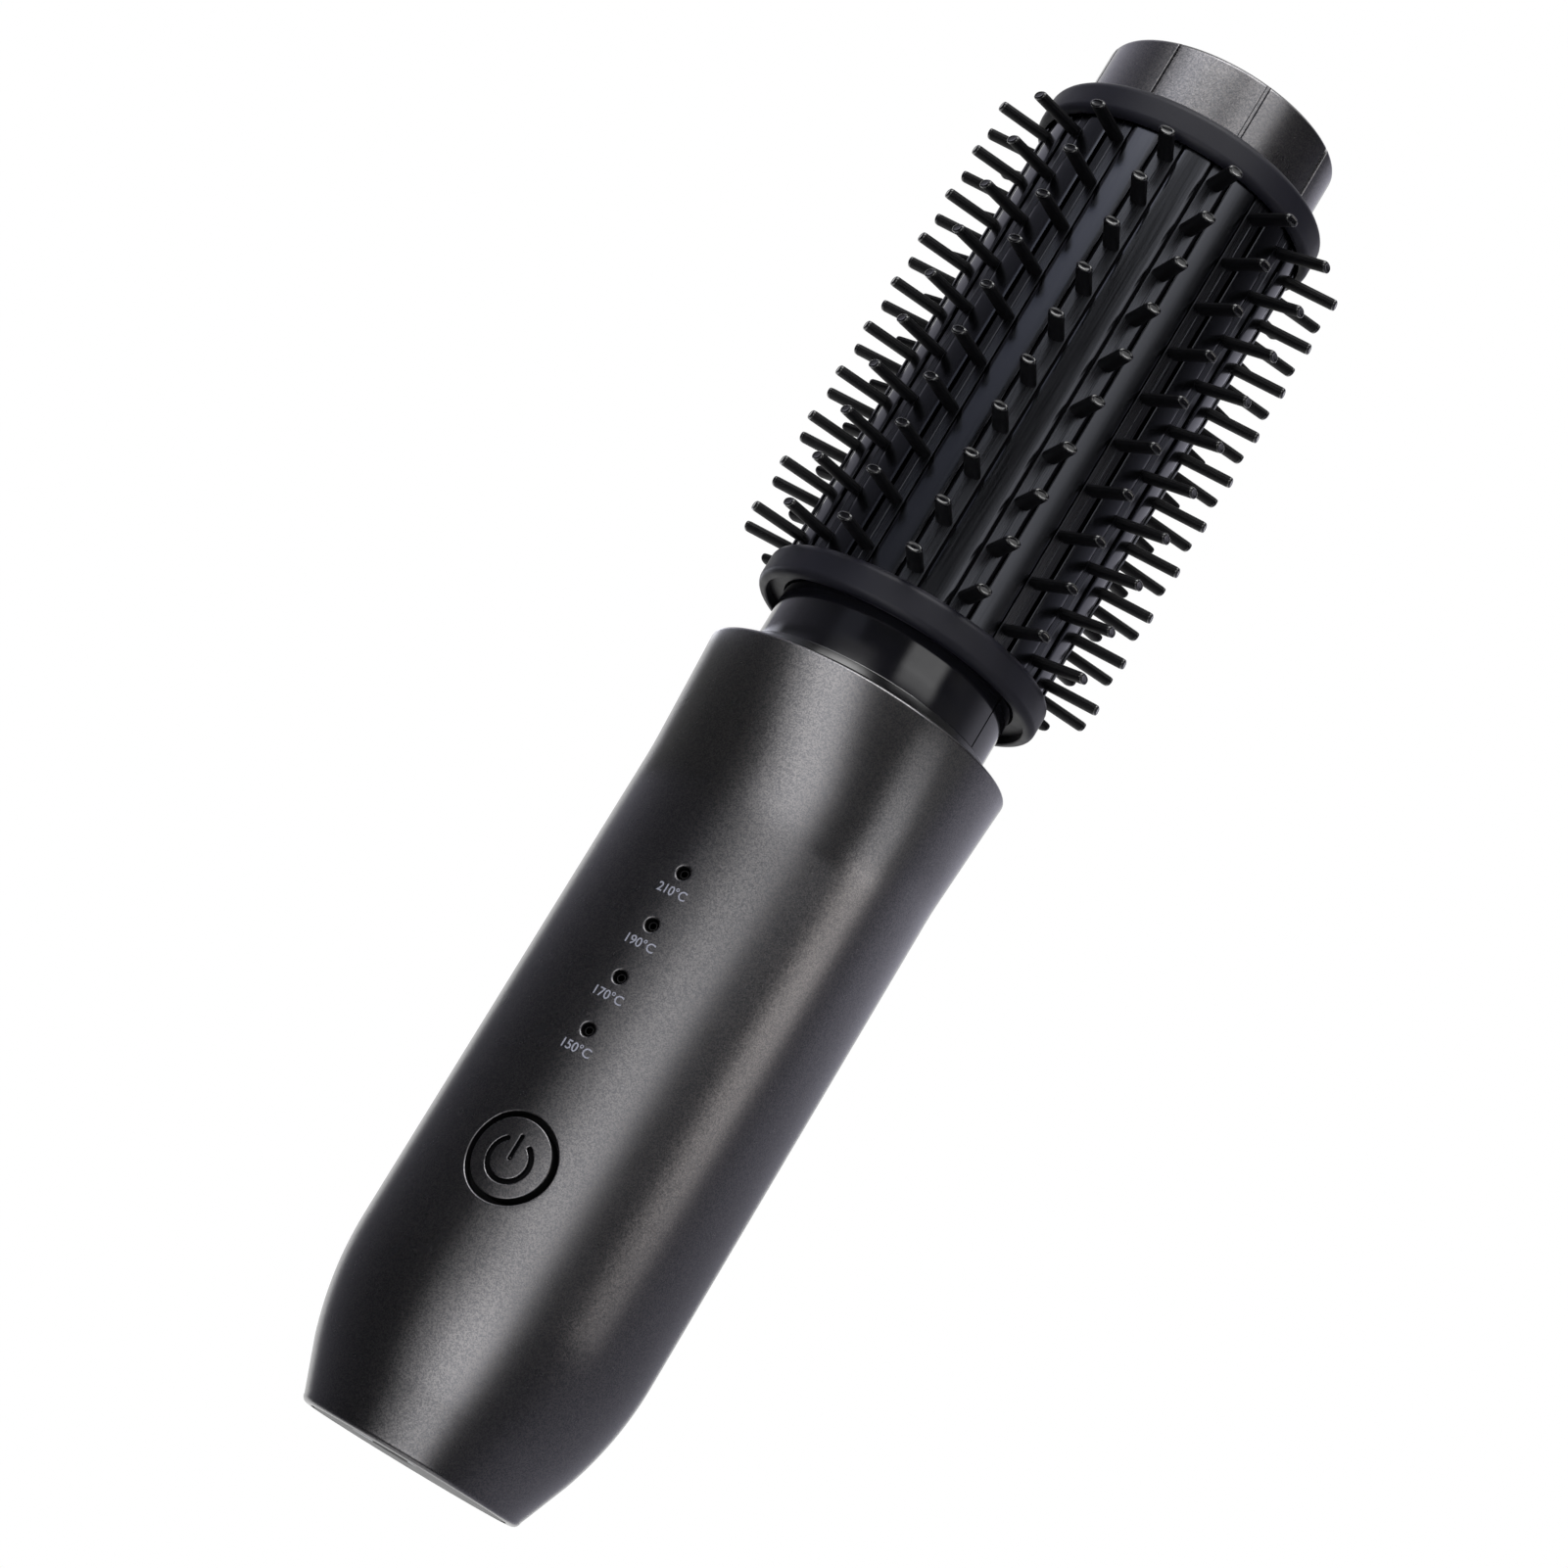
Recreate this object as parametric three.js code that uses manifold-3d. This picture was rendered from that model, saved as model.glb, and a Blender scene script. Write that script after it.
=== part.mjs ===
// Cordless heated styling brush, in millimetres, +Z up.
// It stands on its flat base: the origin is the centre of the base, and the power button faces -Y.
import * as THREE from "three";
import { mergeVertices } from "three/addons/utils/BufferGeometryUtils.js";
import Module from "manifold-3d";

const wasm = await Module();
wasm.setup();

// Fits
const gap = 0.3; // clearance between pieces that seat in or on one another
const wall = 1.6; // wall of the moulded housings

// Battery cells, which set the size of the handle
const cellRadius = 9.2;
const cellLength = 65;
const cellSpacing = 0.8; // between the two cells
const cellSetback = 4.25; // from the axis towards the back
const cellClearance = 0.85; // between a cell and the shell
const strapThickness = 0.4;
const strapWidth = 8;

// Handle shell
const handleLength = 116.9;
const baseInset = 5.65; // the base is this much smaller in radius than the grip
const baseConeLength = 8; // straight cone above the base
const baseConeAngle = 19.1; // degrees from the axis
const baseEdge = 1;
const rimFlare = 1; // the rim is this much larger in radius than the grip
const rimFlareLength = 19.9;
const rimFlareBend = 4; // length of the bend between the straight grip and the straight flare
const rimEdge = 0.5;

// Power button and its switch
const buttonHeight = 39; // centre above the base
const buttonRadius = 5.1;
const buttonRingGap = 1.2; // dark ring round the button face
const buttonFlangeWidth = 1.55;
const buttonFlangeThickness = 1;
const stemRadius = 1.8;
const switchSize = 6;
const switchDepth = 3.5;
const plungerRadius = 1.6;
const plungerStandout = 1;
const plungerHidden = 1.8; // length of the plunger inside the switch
const buttonTravel = 0.5;

// Temperature indicators
const ledCount = 4;
const lowestLedHeight = 58.3;
const ledPitch = 8;
const ledHoleRadius = 0.95;
const ledChip = 1.6;
const ledChipDepth = 0.8;
const lightPipeRecess = 0.7; // below the surface of the handle
const lightBarWidth = 3;
const lightBarDepth = 1.6;
const lightBarMargin = 2;

// Control board
const boardThickness = 1.6;
const boardStandoff = 8.07; // from the inside of the shell to the front of the board
const boardMargin = 8; // above the highest indicator
const boardEdgeClearance = 0.5;

// Charging socket in the base
const socketWidth = 8.94;
const socketHeight = 3.16;
const socketWall = 0.3;
const socketDepth = 7.3;
const tongueWidth = 6.2;
const tongueThickness = 0.7;
const tongueLength = 4.4;
const insertDepth = 1.6;

// Base cap
const capSkirtHeight = 3.2;
const postRadius = 2;
const postSpread = 9;
const postSetback = 6;

// Board screws
const screwHeadRadius = 1.7;
const screwHeadHeight = 1.2;
const screwShankRadius = 0.85;
const screwLength = 6;
const lowerScrewRise = 4; // above the bottom of the battery carrier
const upperScrewRise = 6; // above the highest indicator

// Neck and collar
const neckRadius = 17.9;
const neckWall = 2.6;
const neckExposed = 9.75; // between the rim of the handle and the lower ring
const neckFootHeight = 2;
const neckFootClearance = 0.5; // round the foot, inside the handle
const neckSeamAngle = 81.5; // degrees from the front, seen from above
const collarLip = 0.7; // the collar stands out from the neck
const collarStepHeight = 2.4; // above the rim
const collarSeatDepth = 4; // below the rim
const collarSlope = 0.7;
const barrierThickness = 2;
const barrierDrop = 0.6; // below the barrel

// Rings at the ends of the barrel
const ringOverhang = 1.5; // the rings stand out from the barrel
const ringLength = 5.05;
const ringEdge = 1.2;
const ringSeat = 2.3; // length of the barrel inside each ring
const ringFlange = 1.1;

// Barrel and comb strips
const barrelRadius = 20.4;
const barrelWall = 3.2;
const barrelStep = 2.5; // from the neck up to the barrel
const spigotLength = 6.7; // neck and tip plug inside the barrel
const rowCount = 16;
const rowPhase = 13.25; // degrees from the front to the first row
const channelDepth = 1.1;
const stripWidth = 3.1;
const stripThickness = 0.7;
const teethPerRow = 10;
const toothPitch = 7.633;
const toothMargin = 2.5; // from the end ring to the nearest tooth
const toothReach = 7.6; // above the barrel
const toothWidth = 2.3; // across the row
const toothLength = 1.65; // along the row, between opposite corners
const toothTaper = 0.12;
const toothCrown = 0.5; // height of the rounded end

// Heater inside the barrel
const heaterWidth = 24;
const heaterThickness = 4;
const heaterRise = 1; // above the end of the neck
const heaterHeadroom = 3; // below the tip plug
const sensorRadius = 1.2;
const sensorLength = 8;
const cutoffRadius = 1.8;
const cutoffLength = 11;
const sensorOffset = 9; // from the axis, in the front and back blocks

// Tip
const tipInset = 2.3; // the tip is this much smaller in radius than the barrel
const tipExposed = 10.35; // above the upper ring
const tipWall = 1.4;
const tipGrooveWidth = 0.5;
const tipGrooveDepth = 0.35;
const tipEdge = 0.7;
const tipPlugHeight = 5; // inside the cap

// Number of flat sides that stand for a round
const roundSides = 40;
const innerSides = 24;
const smallSides = 12;
const toothSides = 6;

// Sizes that follow from the ones above
const cellX = cellRadius + cellSpacing / 2;
const handleBore = Math.hypot(cellX, cellSetback) + cellRadius + cellClearance;
const handleRadius = handleBore + wall;
const rimRadius = handleRadius + rimFlare;
const baseRadius = handleRadius - baseInset;
const baseOpening = baseRadius - wall;
const coneRise = Math.tan(THREE.MathUtils.degToRad(baseConeAngle));
const coneTopRadius = baseRadius + baseConeLength * coneRise;
const bendHeight = baseConeLength + (handleRadius - coneTopRadius) / coneRise;
const shoulderHeight = 2 * bendHeight - baseConeLength;
const flareRise = rimFlare / (rimFlareLength - rimFlareBend / 2); // radius gained over height

const boardFront = boardStandoff - handleBore;
const boardBack = boardFront + boardThickness;
const socketY = boardBack + gap + socketHeight / 2;
const highestLedHeight = lowestLedHeight + (ledCount - 1) * ledPitch;
const boardTop = highestLedHeight + boardMargin;
const switchFront = boardFront - gap - switchDepth;
const plungerFront = switchFront - plungerStandout;

const carrierBottom = shoulderHeight;
const screwHeights = [carrierBottom + lowerScrewRise, highestLedHeight + upperScrewRise];
const cellBottom = carrierBottom + wall + gap + strapThickness + gap;
const cellTop = cellBottom + cellLength;
const carrierTop = cellTop + gap + strapThickness + gap + wall;
const neckBottom = carrierTop + gap;

const lowerRingBottom = handleLength + neckExposed;
const lowerRingTop = lowerRingBottom + ringLength;
const firstTooth = lowerRingTop + toothMargin;
const upperRingBottom = firstTooth + (teethPerRow - 1) * toothPitch + toothMargin;
const upperRingTop = upperRingBottom + ringLength;
const barrelBottom = lowerRingTop - ringSeat;
const barrelTop = upperRingBottom + ringSeat;
const barrelBore = barrelRadius - barrelWall;
const spigotRadius = barrelBore - gap;
const spigotBore = spigotRadius - wall;
const neckTopRadius = barrelRadius - barrelStep;
const neckTop = barrelBottom + spigotLength;
const ringRadius = barrelRadius + ringOverhang;
const collarRadius = neckRadius + collarLip;
const collarTop = handleLength + collarStepHeight;
const tipRadius = barrelRadius - tipInset;
const tipTop = upperRingTop + tipExposed;
const tipPlugBottom = barrelTop - spigotLength;
const heaterBottom = neckTop + gap + heaterRise;
const heaterLength = tipPlugBottom - heaterHeadroom - heaterBottom;
const channelFloor = barrelRadius - channelDepth;
const stripFloor = channelFloor + gap;

// Materials, one for each finish
const finish = {
  paint: new THREE.MeshStandardMaterial({ color: 0x454343, roughness: 0.42, metalness: 0.75 }),
  barrel: new THREE.MeshStandardMaterial({ color: 0x3b3b3e, roughness: 0.4, metalness: 0.8 }),
  satinBlack: new THREE.MeshStandardMaterial({ color: 0x161618, roughness: 0.4, metalness: 0 }),
  ring: new THREE.MeshStandardMaterial({ color: 0x2c2c30, roughness: 0.6, metalness: 0 }),
  tooth: new THREE.MeshStandardMaterial({ color: 0x0d0d0f, roughness: 0.22, metalness: 0 }),
  steel: new THREE.MeshStandardMaterial({ color: 0xb9bbbf, roughness: 0.3, metalness: 1 }),
  lens: new THREE.MeshStandardMaterial({ color: 0x1a1a1e, roughness: 0.15, metalness: 0 }),
  board: new THREE.MeshStandardMaterial({ color: 0x1c5a36, roughness: 0.5, metalness: 0 }),
  cell: new THREE.MeshStandardMaterial({ color: 0x3f78b0, roughness: 0.4, metalness: 0 }),
  chassis: new THREE.MeshStandardMaterial({ color: 0x2a2a2c, roughness: 0.6, metalness: 0 }),
  ceramic: new THREE.MeshStandardMaterial({ color: 0xd8d4c8, roughness: 0.7, metalness: 0 }),
  aluminium: new THREE.MeshStandardMaterial({ color: 0xa8aaad, roughness: 0.4, metalness: 1 }),
};

const brush = new THREE.Group();

function place(name, geometry, material) {
  const mesh = new THREE.Mesh(geometry, material);
  mesh.name = name;
  brush.add(mesh);
  return mesh;
}

// Solids for the boolean cuts and joins
function solidOf(geometry) {
  const bare = geometry.clone();
  bare.deleteAttribute("normal");
  bare.deleteAttribute("uv");
  const merged = mergeVertices(bare, 1e-4);
  const index = merged.index.array;
  const mesh = new wasm.Mesh({
    numProp: 3,
    vertProperties: new Float32Array(merged.attributes.position.array),
    triVerts: new Uint32Array(index),
  });
  return new wasm.Manifold(mesh);
}

function geometryOf(solid) {
  const mesh = solid.getMesh();
  const geometry = new THREE.BufferGeometry();
  geometry.setAttribute("position", new THREE.BufferAttribute(mesh.vertProperties, 3));
  geometry.setIndex(new THREE.BufferAttribute(mesh.triVerts, 1));
  return geometry;
}

function cut(body, ...tools) {
  return geometryOf(tools.reduce((left, tool) => left.subtract(solidOf(tool)), solidOf(body)));
}

function join(body, ...others) {
  return geometryOf(others.reduce((sum, other) => sum.add(solidOf(other)), solidOf(body)));
}

function overlap(body, limit) {
  return geometryOf(solidOf(body).intersect(solidOf(limit)));
}

// Profiles are closed outlines of [radius, height], anticlockwise: up the outside, down the inside.
function revolve(outline, sides = roundSides) {
  const points = outline.map(([radius, height]) => new THREE.Vector2(radius, height));
  points.push(points[0].clone());
  return new THREE.LatheGeometry(points, sides).rotateX(Math.PI / 2);
}

// Points of an arc in a profile, with angles in degrees from the outward direction.
function arc(centreRadius, centreHeight, radius, from, to, steps) {
  const points = [];
  for (let i = 0; i <= steps; i += 1) {
    const angle = THREE.MathUtils.degToRad(from + ((to - from) * i) / steps);
    points.push([centreRadius + radius * Math.cos(angle), centreHeight + radius * Math.sin(angle)]);
  }
  return points;
}

function box(width, depth, height, x, y, z) {
  return new THREE.BoxGeometry(width, depth, height).translate(x, y, z);
}

// A rod along Z from one height to another.
function uprightRod(radius, bottom, top, x, y, sides = smallSides) {
  return new THREE.CylinderGeometry(radius, radius, top - bottom, sides)
    .rotateX(Math.PI / 2)
    .translate(x, y, (bottom + top) / 2);
}

// A rod along Y, from its front end to its back end.
function levelRod(radius, front, back, z, sides = smallSides) {
  return new THREE.CylinderGeometry(radius, radius, back - front, sides).translate(0, (front + back) / 2, z);
}

// A plate with rounded ends, wide along X, that runs up along Z.
function slotBlock(width, height, bottom, top, y) {
  const end = height / 2;
  const reach = width / 2 - end;
  const shape = new THREE.Shape();
  shape.absarc(reach, 0, end, -Math.PI / 2, Math.PI / 2);
  shape.absarc(-reach, 0, end, Math.PI / 2, 1.5 * Math.PI);
  const settings = { depth: top - bottom, bevelEnabled: false, curveSegments: 6 };
  return new THREE.ExtrudeGeometry(shape, settings).translate(0, y, bottom);
}

// The grip is straight, a bend joins it tangentially to the base cone, and a short one to the straight flare.
function gripOutline(offset, steps) {
  const bend = new THREE.QuadraticBezierCurve(
    new THREE.Vector2(coneTopRadius, baseConeLength),
    new THREE.Vector2(handleRadius, bendHeight),
    new THREE.Vector2(handleRadius, shoulderHeight),
  );
  const flareStart = handleLength - rimFlareLength;
  const flare = new THREE.QuadraticBezierCurve(
    new THREE.Vector2(handleRadius, flareStart),
    new THREE.Vector2(handleRadius, flareStart + rimFlareBend / 2),
    new THREE.Vector2(handleRadius + (flareRise * rimFlareBend) / 2, flareStart + rimFlareBend),
  );
  const rim = new THREE.Vector2(rimRadius, handleLength);
  const points = [...bend.getPoints(steps), ...flare.getPoints(Math.ceil(steps / 2)), rim];
  return points.map((point) => [point.x - offset, point.y]);
}

function handleShell() {
  const outside = gripOutline(0, 4);
  const [rimOutside] = outside.splice(-1);
  const inside = gripOutline(wall, 1).reverse();
  const body = revolve([
    [baseOpening, 0],
    ...arc(baseRadius - baseEdge, baseEdge, baseEdge, -90, 0, 2),
    ...outside,
    ...arc(rimOutside[0] - rimEdge, rimOutside[1] - rimEdge, rimEdge, 0, 90, 2),
    ...inside,
  ]);
  const buttonHole = levelRod(buttonRadius + buttonRingGap, -rimRadius, 0, buttonHeight, innerSides);
  const ledHoles = [];
  for (let i = 0; i < ledCount; i += 1) {
    ledHoles.push(levelRod(ledHoleRadius, -rimRadius, 0, lowestLedHeight + i * ledPitch, 12));
  }
  return cut(body, buttonHole, ...ledHoles);
}

// The button face follows the surface of the handle.
function powerButton() {
  const flangeRadius = buttonRadius + buttonFlangeWidth;
  const flangeFront = -(Math.sqrt(handleBore ** 2 - flangeRadius ** 2) - gap);
  const flangeBack = flangeFront + buttonFlangeThickness;
  const face = levelRod(buttonRadius, -rimRadius, flangeBack, buttonHeight, innerSides);
  const surface = uprightRod(handleRadius, 0, handleLength, 0, 0, 2 * roundSides);
  const flange = levelRod(flangeRadius, flangeFront, flangeBack, buttonHeight, innerSides);
  const stem = levelRod(stemRadius, flangeFront, plungerFront - gap, buttonHeight);
  return join(overlap(face, surface), flange, stem);
}

function switchBody() {
  const block = box(
    switchSize, switchDepth, switchSize,
    0, boardFront - gap - switchDepth / 2, buttonHeight,
  );
  const boreBack = switchFront + plungerHidden + gap + buttonTravel;
  const bore = levelRod(plungerRadius + gap, switchFront - 1, boreBack, buttonHeight);
  return cut(block, bore);
}

function controlBoard() {
  const bottom = wall + capSkirtHeight + gap;
  const innerRadius = baseOpening + bottom * coneRise;
  const halfWidth = Math.sqrt((innerRadius - boardEdgeClearance) ** 2 - boardFront ** 2);
  const plate = box(
    2 * halfWidth, boardThickness, boardTop - bottom,
    0, boardFront + boardThickness / 2, (boardTop + bottom) / 2,
  );
  return cut(plate, ...screwHoles());
}

function screwHoles() {
  const front = boardFront - 1;
  const back = boardFront + screwLength + gap;
  return screwHeights.map((height) => levelRod(screwShankRadius + gap, front, back, height, 12));
}

function boardScrew(height) {
  const headBack = boardFront - gap;
  const head = levelRod(screwHeadRadius, headBack - screwHeadHeight, headBack, height, 12);
  const shank = levelRod(screwShankRadius, headBack - screwHeadHeight / 2, boardFront + screwLength, height, 12);
  return join(head, shank);
}

function lightGuide() {
  const barFront = -(Math.sqrt(handleBore ** 2 - (lightBarWidth / 2) ** 2) - gap);
  const length = highestLedHeight - lowestLedHeight + 2 * lightBarMargin;
  const bar = box(
    lightBarWidth, lightBarDepth, length,
    0, barFront + lightBarDepth / 2, (highestLedHeight + lowestLedHeight) / 2,
  );
  const pins = [];
  const pinBack = boardFront - gap - ledChipDepth - gap;
  for (let i = 0; i < ledCount; i += 1) {
    const height = lowestLedHeight + i * ledPitch;
    pins.push(levelRod(ledHoleRadius - gap, -handleRadius + lightPipeRecess, pinBack, height, 8));
  }
  return join(bar, ...pins);
}

function batteryCell(side) {
  const rim = 0.6;
  return revolve([
    [0, cellBottom],
    [cellRadius - rim, cellBottom],
    [cellRadius, cellBottom + rim],
    [cellRadius, cellTop - rim],
    [cellRadius - rim, cellTop],
    [0, cellTop],
  ], 24).translate(side * cellX, cellSetback, 0);
}

function cellStrap(bottom) {
  return box(2 * cellX + strapWidth, strapWidth, strapThickness, 0, cellSetback, bottom + strapThickness / 2);
}

// A cradle with an end plate at each end, which holds the cells behind the board.
function batteryCarrier() {
  const cradleRadius = cellRadius + gap;
  const front = boardBack + gap;
  const plateRadius = handleBore - gap - 0.2;
  const cradleHeight = carrierTop - carrierBottom;
  const block = box(
    2 * cellX + cellRadius, cellSetback - front, cradleHeight,
    0, (cellSetback + front) / 2 - cellRadius / 2, (carrierBottom + carrierTop) / 2,
  );
  const trough = (side) =>
    uprightRod(cradleRadius, carrierBottom + wall, carrierTop - wall, side * cellX, cellSetback, 24);
  const plate = (bottom) => uprightRod(plateRadius, bottom, bottom + wall, 0, 0, innerSides);
  const frontLimit = box(
    2 * handleRadius, 2 * handleRadius, cradleHeight + 2,
    0, front + handleRadius, (carrierBottom + carrierTop) / 2,
  );
  const plates = join(block, plate(carrierBottom), plate(carrierTop - wall));
  return overlap(cut(plates, trough(-1), trough(1), ...screwHoles()), frontLimit);
}

function baseCap() {
  const radius = baseOpening - gap;
  const skirtTop = wall + capSkirtHeight;
  const dish = revolve([
    [0, 0],
    [radius, 0],
    [radius, skirtTop],
    [radius - wall, skirtTop],
    [radius - wall, wall],
    [0, wall],
  ], innerSides);
  const post = (side) =>
    uprightRod(postRadius, wall / 2, carrierBottom - gap, side * postSpread, postSetback, 12);
  const slot = slotBlock(socketWidth + 2 * gap, socketHeight + 2 * gap, -1, wall + 1, socketY);
  return cut(join(dish, post(-1), post(1)), slot);
}

function socketShell() {
  const outside = slotBlock(socketWidth, socketHeight, gap, gap + socketDepth, socketY);
  const width = socketWidth - 2 * socketWall;
  const height = socketHeight - 2 * socketWall;
  return cut(outside, slotBlock(width, height, -1, gap + socketDepth - socketWall, socketY));
}

function socketInsert() {
  const top = gap + socketDepth - socketWall - gap;
  const width = socketWidth - 2 * (socketWall + gap);
  const height = socketHeight - 2 * (socketWall + gap);
  const block = slotBlock(width, height, top - insertDepth, top, socketY);
  const tongue = box(
    tongueWidth, tongueThickness, tongueLength + insertDepth / 2,
    0, socketY, top - insertDepth / 2 - (tongueLength + insertDepth / 2) / 2,
  );
  return join(block, tongue);
}

// The skirt of the collar seats in the flared mouth of the handle.
function topCollar() {
  const bottom = handleLength - collarSeatDepth;
  const skirtFlare = rimFlare - flareRise * collarSeatDepth;
  const inside = neckRadius + gap;
  const edge = 0.2;
  return revolve([
    [inside, bottom],
    [handleBore + skirtFlare - gap, bottom],
    [handleBore + rimFlare - gap, handleLength - collarSlope],
    [collarRadius, handleLength],
    [collarRadius, collarTop - edge],
    [collarRadius - edge, collarTop],
    [inside, collarTop],
  ]);
}

// The neck is two half tubes whose seam runs down the sides. It widens or narrows to suit the barrel.
function neckHalf(side) {
  const footRadius = handleBore - neckFootClearance;
  const tube = revolve([
    [neckRadius - neckWall, neckBottom],
    [footRadius, neckBottom],
    [footRadius, neckBottom + neckFootHeight],
    [neckRadius, neckBottom + neckFootHeight],
    [neckRadius, collarTop],
    [neckTopRadius, lowerRingBottom],
    [neckTopRadius, barrelBottom - gap],
    [spigotRadius, barrelBottom - gap],
    [spigotRadius, neckTop],
    [spigotBore, neckTop],
    [spigotBore, lowerRingBottom],
    [neckRadius - neckWall, collarTop],
  ]);
  const size = 2 * footRadius;
  const away = box(size * 2, size, neckTop, 0, (side * size) / 2 - (side * gap) / 2, neckTop / 2 + neckBottom / 2);
  away.rotateZ(THREE.MathUtils.degToRad(neckSeamAngle - 90));
  return cut(tube, away);
}

function heatBarrier() {
  const top = barrelBottom - barrierDrop;
  return uprightRod(spigotBore - gap, top - barrierThickness, top, 0, 0, innerSides);
}

function lowerRing() {
  const recess = ringLength - ringSeat - gap - ringFlange;
  const flangeBottom = lowerRingBottom + recess;
  return revolve([
    [ringRadius - ringEdge, lowerRingBottom],
    ...arc(ringRadius - ringEdge, lowerRingBottom + ringEdge, ringEdge, -60, 0, 2),
    ...arc(ringRadius - ringEdge, lowerRingTop - ringEdge, ringEdge, 0, 90, 3),
    [barrelRadius + gap, lowerRingTop],
    [barrelRadius + gap, barrelBottom - gap],
    [neckTopRadius + gap, barrelBottom - gap],
    [neckTopRadius + gap, flangeBottom],
    [barrelRadius, flangeBottom],
    [barrelRadius, lowerRingBottom],
  ]);
}

function upperRing() {
  return revolve([
    [barrelRadius + gap, upperRingBottom],
    ...arc(ringRadius - ringEdge, upperRingBottom + ringEdge, ringEdge, -90, 0, 3),
    ...arc(ringRadius - ringEdge, upperRingTop - ringEdge, ringEdge, 0, 90, 3),
    [tipRadius + gap, upperRingTop],
    [tipRadius + gap, barrelTop + gap],
    [barrelRadius + gap, barrelTop + gap],
  ]);
}

// Angle of a row of teeth about the axis, from +X.
function rowAngle(row) {
  return THREE.MathUtils.degToRad(rowPhase - 90 + (360 * row) / rowCount);
}

// An extruded tube with a channel for each comb strip.
function heatingBarrel() {
  const shape = new THREE.Shape();
  const pitch = (2 * Math.PI) / rowCount;
  const halfChannel = stripWidth / 2 + gap;
  const halfAngle = Math.asin(halfChannel / barrelRadius);
  const landSteps = 3;
  for (let row = 0; row < rowCount; row += 1) {
    const middle = rowAngle(row);
    const across = new THREE.Vector2(-Math.sin(middle), Math.cos(middle));
    const out = new THREE.Vector2(Math.cos(middle), Math.sin(middle));
    for (const side of [-1, 1]) {
      const corner = out.clone().multiplyScalar(channelFloor).addScaledVector(across, side * halfChannel);
      const landEdge = middle + side * halfAngle;
      const edge = new THREE.Vector2(Math.cos(landEdge), Math.sin(landEdge)).multiplyScalar(barrelRadius);
      const points = side < 0 ? [edge, corner] : [corner, edge];
      for (const point of points) {
        if (row === 0 && side < 0 && point === edge) {
          shape.moveTo(point.x, point.y);
        } else {
          shape.lineTo(point.x, point.y);
        }
      }
    }
    for (let step = 1; step < landSteps; step += 1) {
      const angle = middle + halfAngle + ((pitch - 2 * halfAngle) * step) / landSteps;
      shape.lineTo(barrelRadius * Math.cos(angle), barrelRadius * Math.sin(angle));
    }
  }
  const bore = new THREE.Path();
  bore.absarc(0, 0, barrelBore, 0, 2 * Math.PI, true);
  shape.holes.push(bore);
  const settings = { depth: barrelTop - barrelBottom, bevelEnabled: false, curveSegments: innerSides / 2 };
  return new THREE.ExtrudeGeometry(shape, settings).translate(0, 0, barrelBottom);
}

// A tooth stands along +X from its foot in the strip, and is wide across the row.
function tooth(height) {
  const top = barrelRadius + toothReach;
  const endWidth = toothWidth - toothTaper;
  const endLength = toothLength - toothTaper;
  const sections = [
    [stripFloor + stripThickness / 2, toothWidth, toothLength],
    [top - toothCrown, endWidth, endLength],
    [top, endWidth - 2 * toothCrown, endLength - 2 * toothCrown],
  ];
  const positions = [];
  for (const [reach, width, length] of sections) {
    for (let i = 0; i < toothSides; i += 1) {
      const angle = (2 * Math.PI * i) / toothSides;
      positions.push(reach, (width / 2) * Math.cos(angle), height + (length / 2) * Math.sin(angle));
    }
  }
  const foot = positions.length / 3;
  positions.push(sections[0][0], 0, height);
  positions.push(top, 0, height);
  const faces = [];
  for (let i = 0; i < toothSides; i += 1) {
    const next = (i + 1) % toothSides;
    for (let section = 0; section < sections.length - 1; section += 1) {
      const low = section * toothSides;
      const high = low + toothSides;
      faces.push(low + i, low + next, high + next, low + i, high + next, high + i);
    }
    const last = (sections.length - 1) * toothSides;
    faces.push(last + i, last + next, foot + 1);
    faces.push(next, i, foot);
  }
  const geometry = new THREE.BufferGeometry();
  geometry.setAttribute("position", new THREE.Float32BufferAttribute(positions, 3));
  geometry.setIndex(faces);
  return geometry;
}

// A strip is a flat bar that fills its channel almost to the surface of the barrel, and its teeth.
function combStrip() {
  const length = barrelTop - barrelBottom - 2 * gap;
  const bar = box(
    stripThickness, stripWidth, length,
    stripFloor + stripThickness / 2, 0, (barrelTop + barrelBottom) / 2,
  );
  const teeth = [];
  for (let i = 0; i < teethPerRow; i += 1) {
    teeth.push(tooth(firstTooth + i * toothPitch));
  }
  return join(bar, ...teeth);
}

// Two half-round blocks clamp the heater plate and press on the bore of the barrel.
function heaterBlock(side) {
  const top = heaterBottom + heaterLength;
  const round = uprightRod(spigotRadius, heaterBottom, top, 0, 0, innerSides);
  const keepDepth = 2 * spigotRadius;
  const half = box(
    keepDepth * 2, keepDepth, heaterLength + 2,
    0, side * (heaterThickness / 2 + gap + keepDepth / 2), (heaterBottom + top) / 2,
  );
  const pocketRadius = (side < 0 ? sensorRadius : cutoffRadius) + gap;
  const pocketLength = (side < 0 ? sensorLength : cutoffLength) + gap;
  const pocket = uprightRod(
    pocketRadius, heaterBottom - 1, heaterBottom + pocketLength,
    0, side * sensorOffset, 12,
  );
  return cut(overlap(round, half), pocket);
}

function heaterPlate() {
  return box(heaterWidth, heaterThickness, heaterLength, 0, 0, heaterBottom + heaterLength / 2);
}

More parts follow.
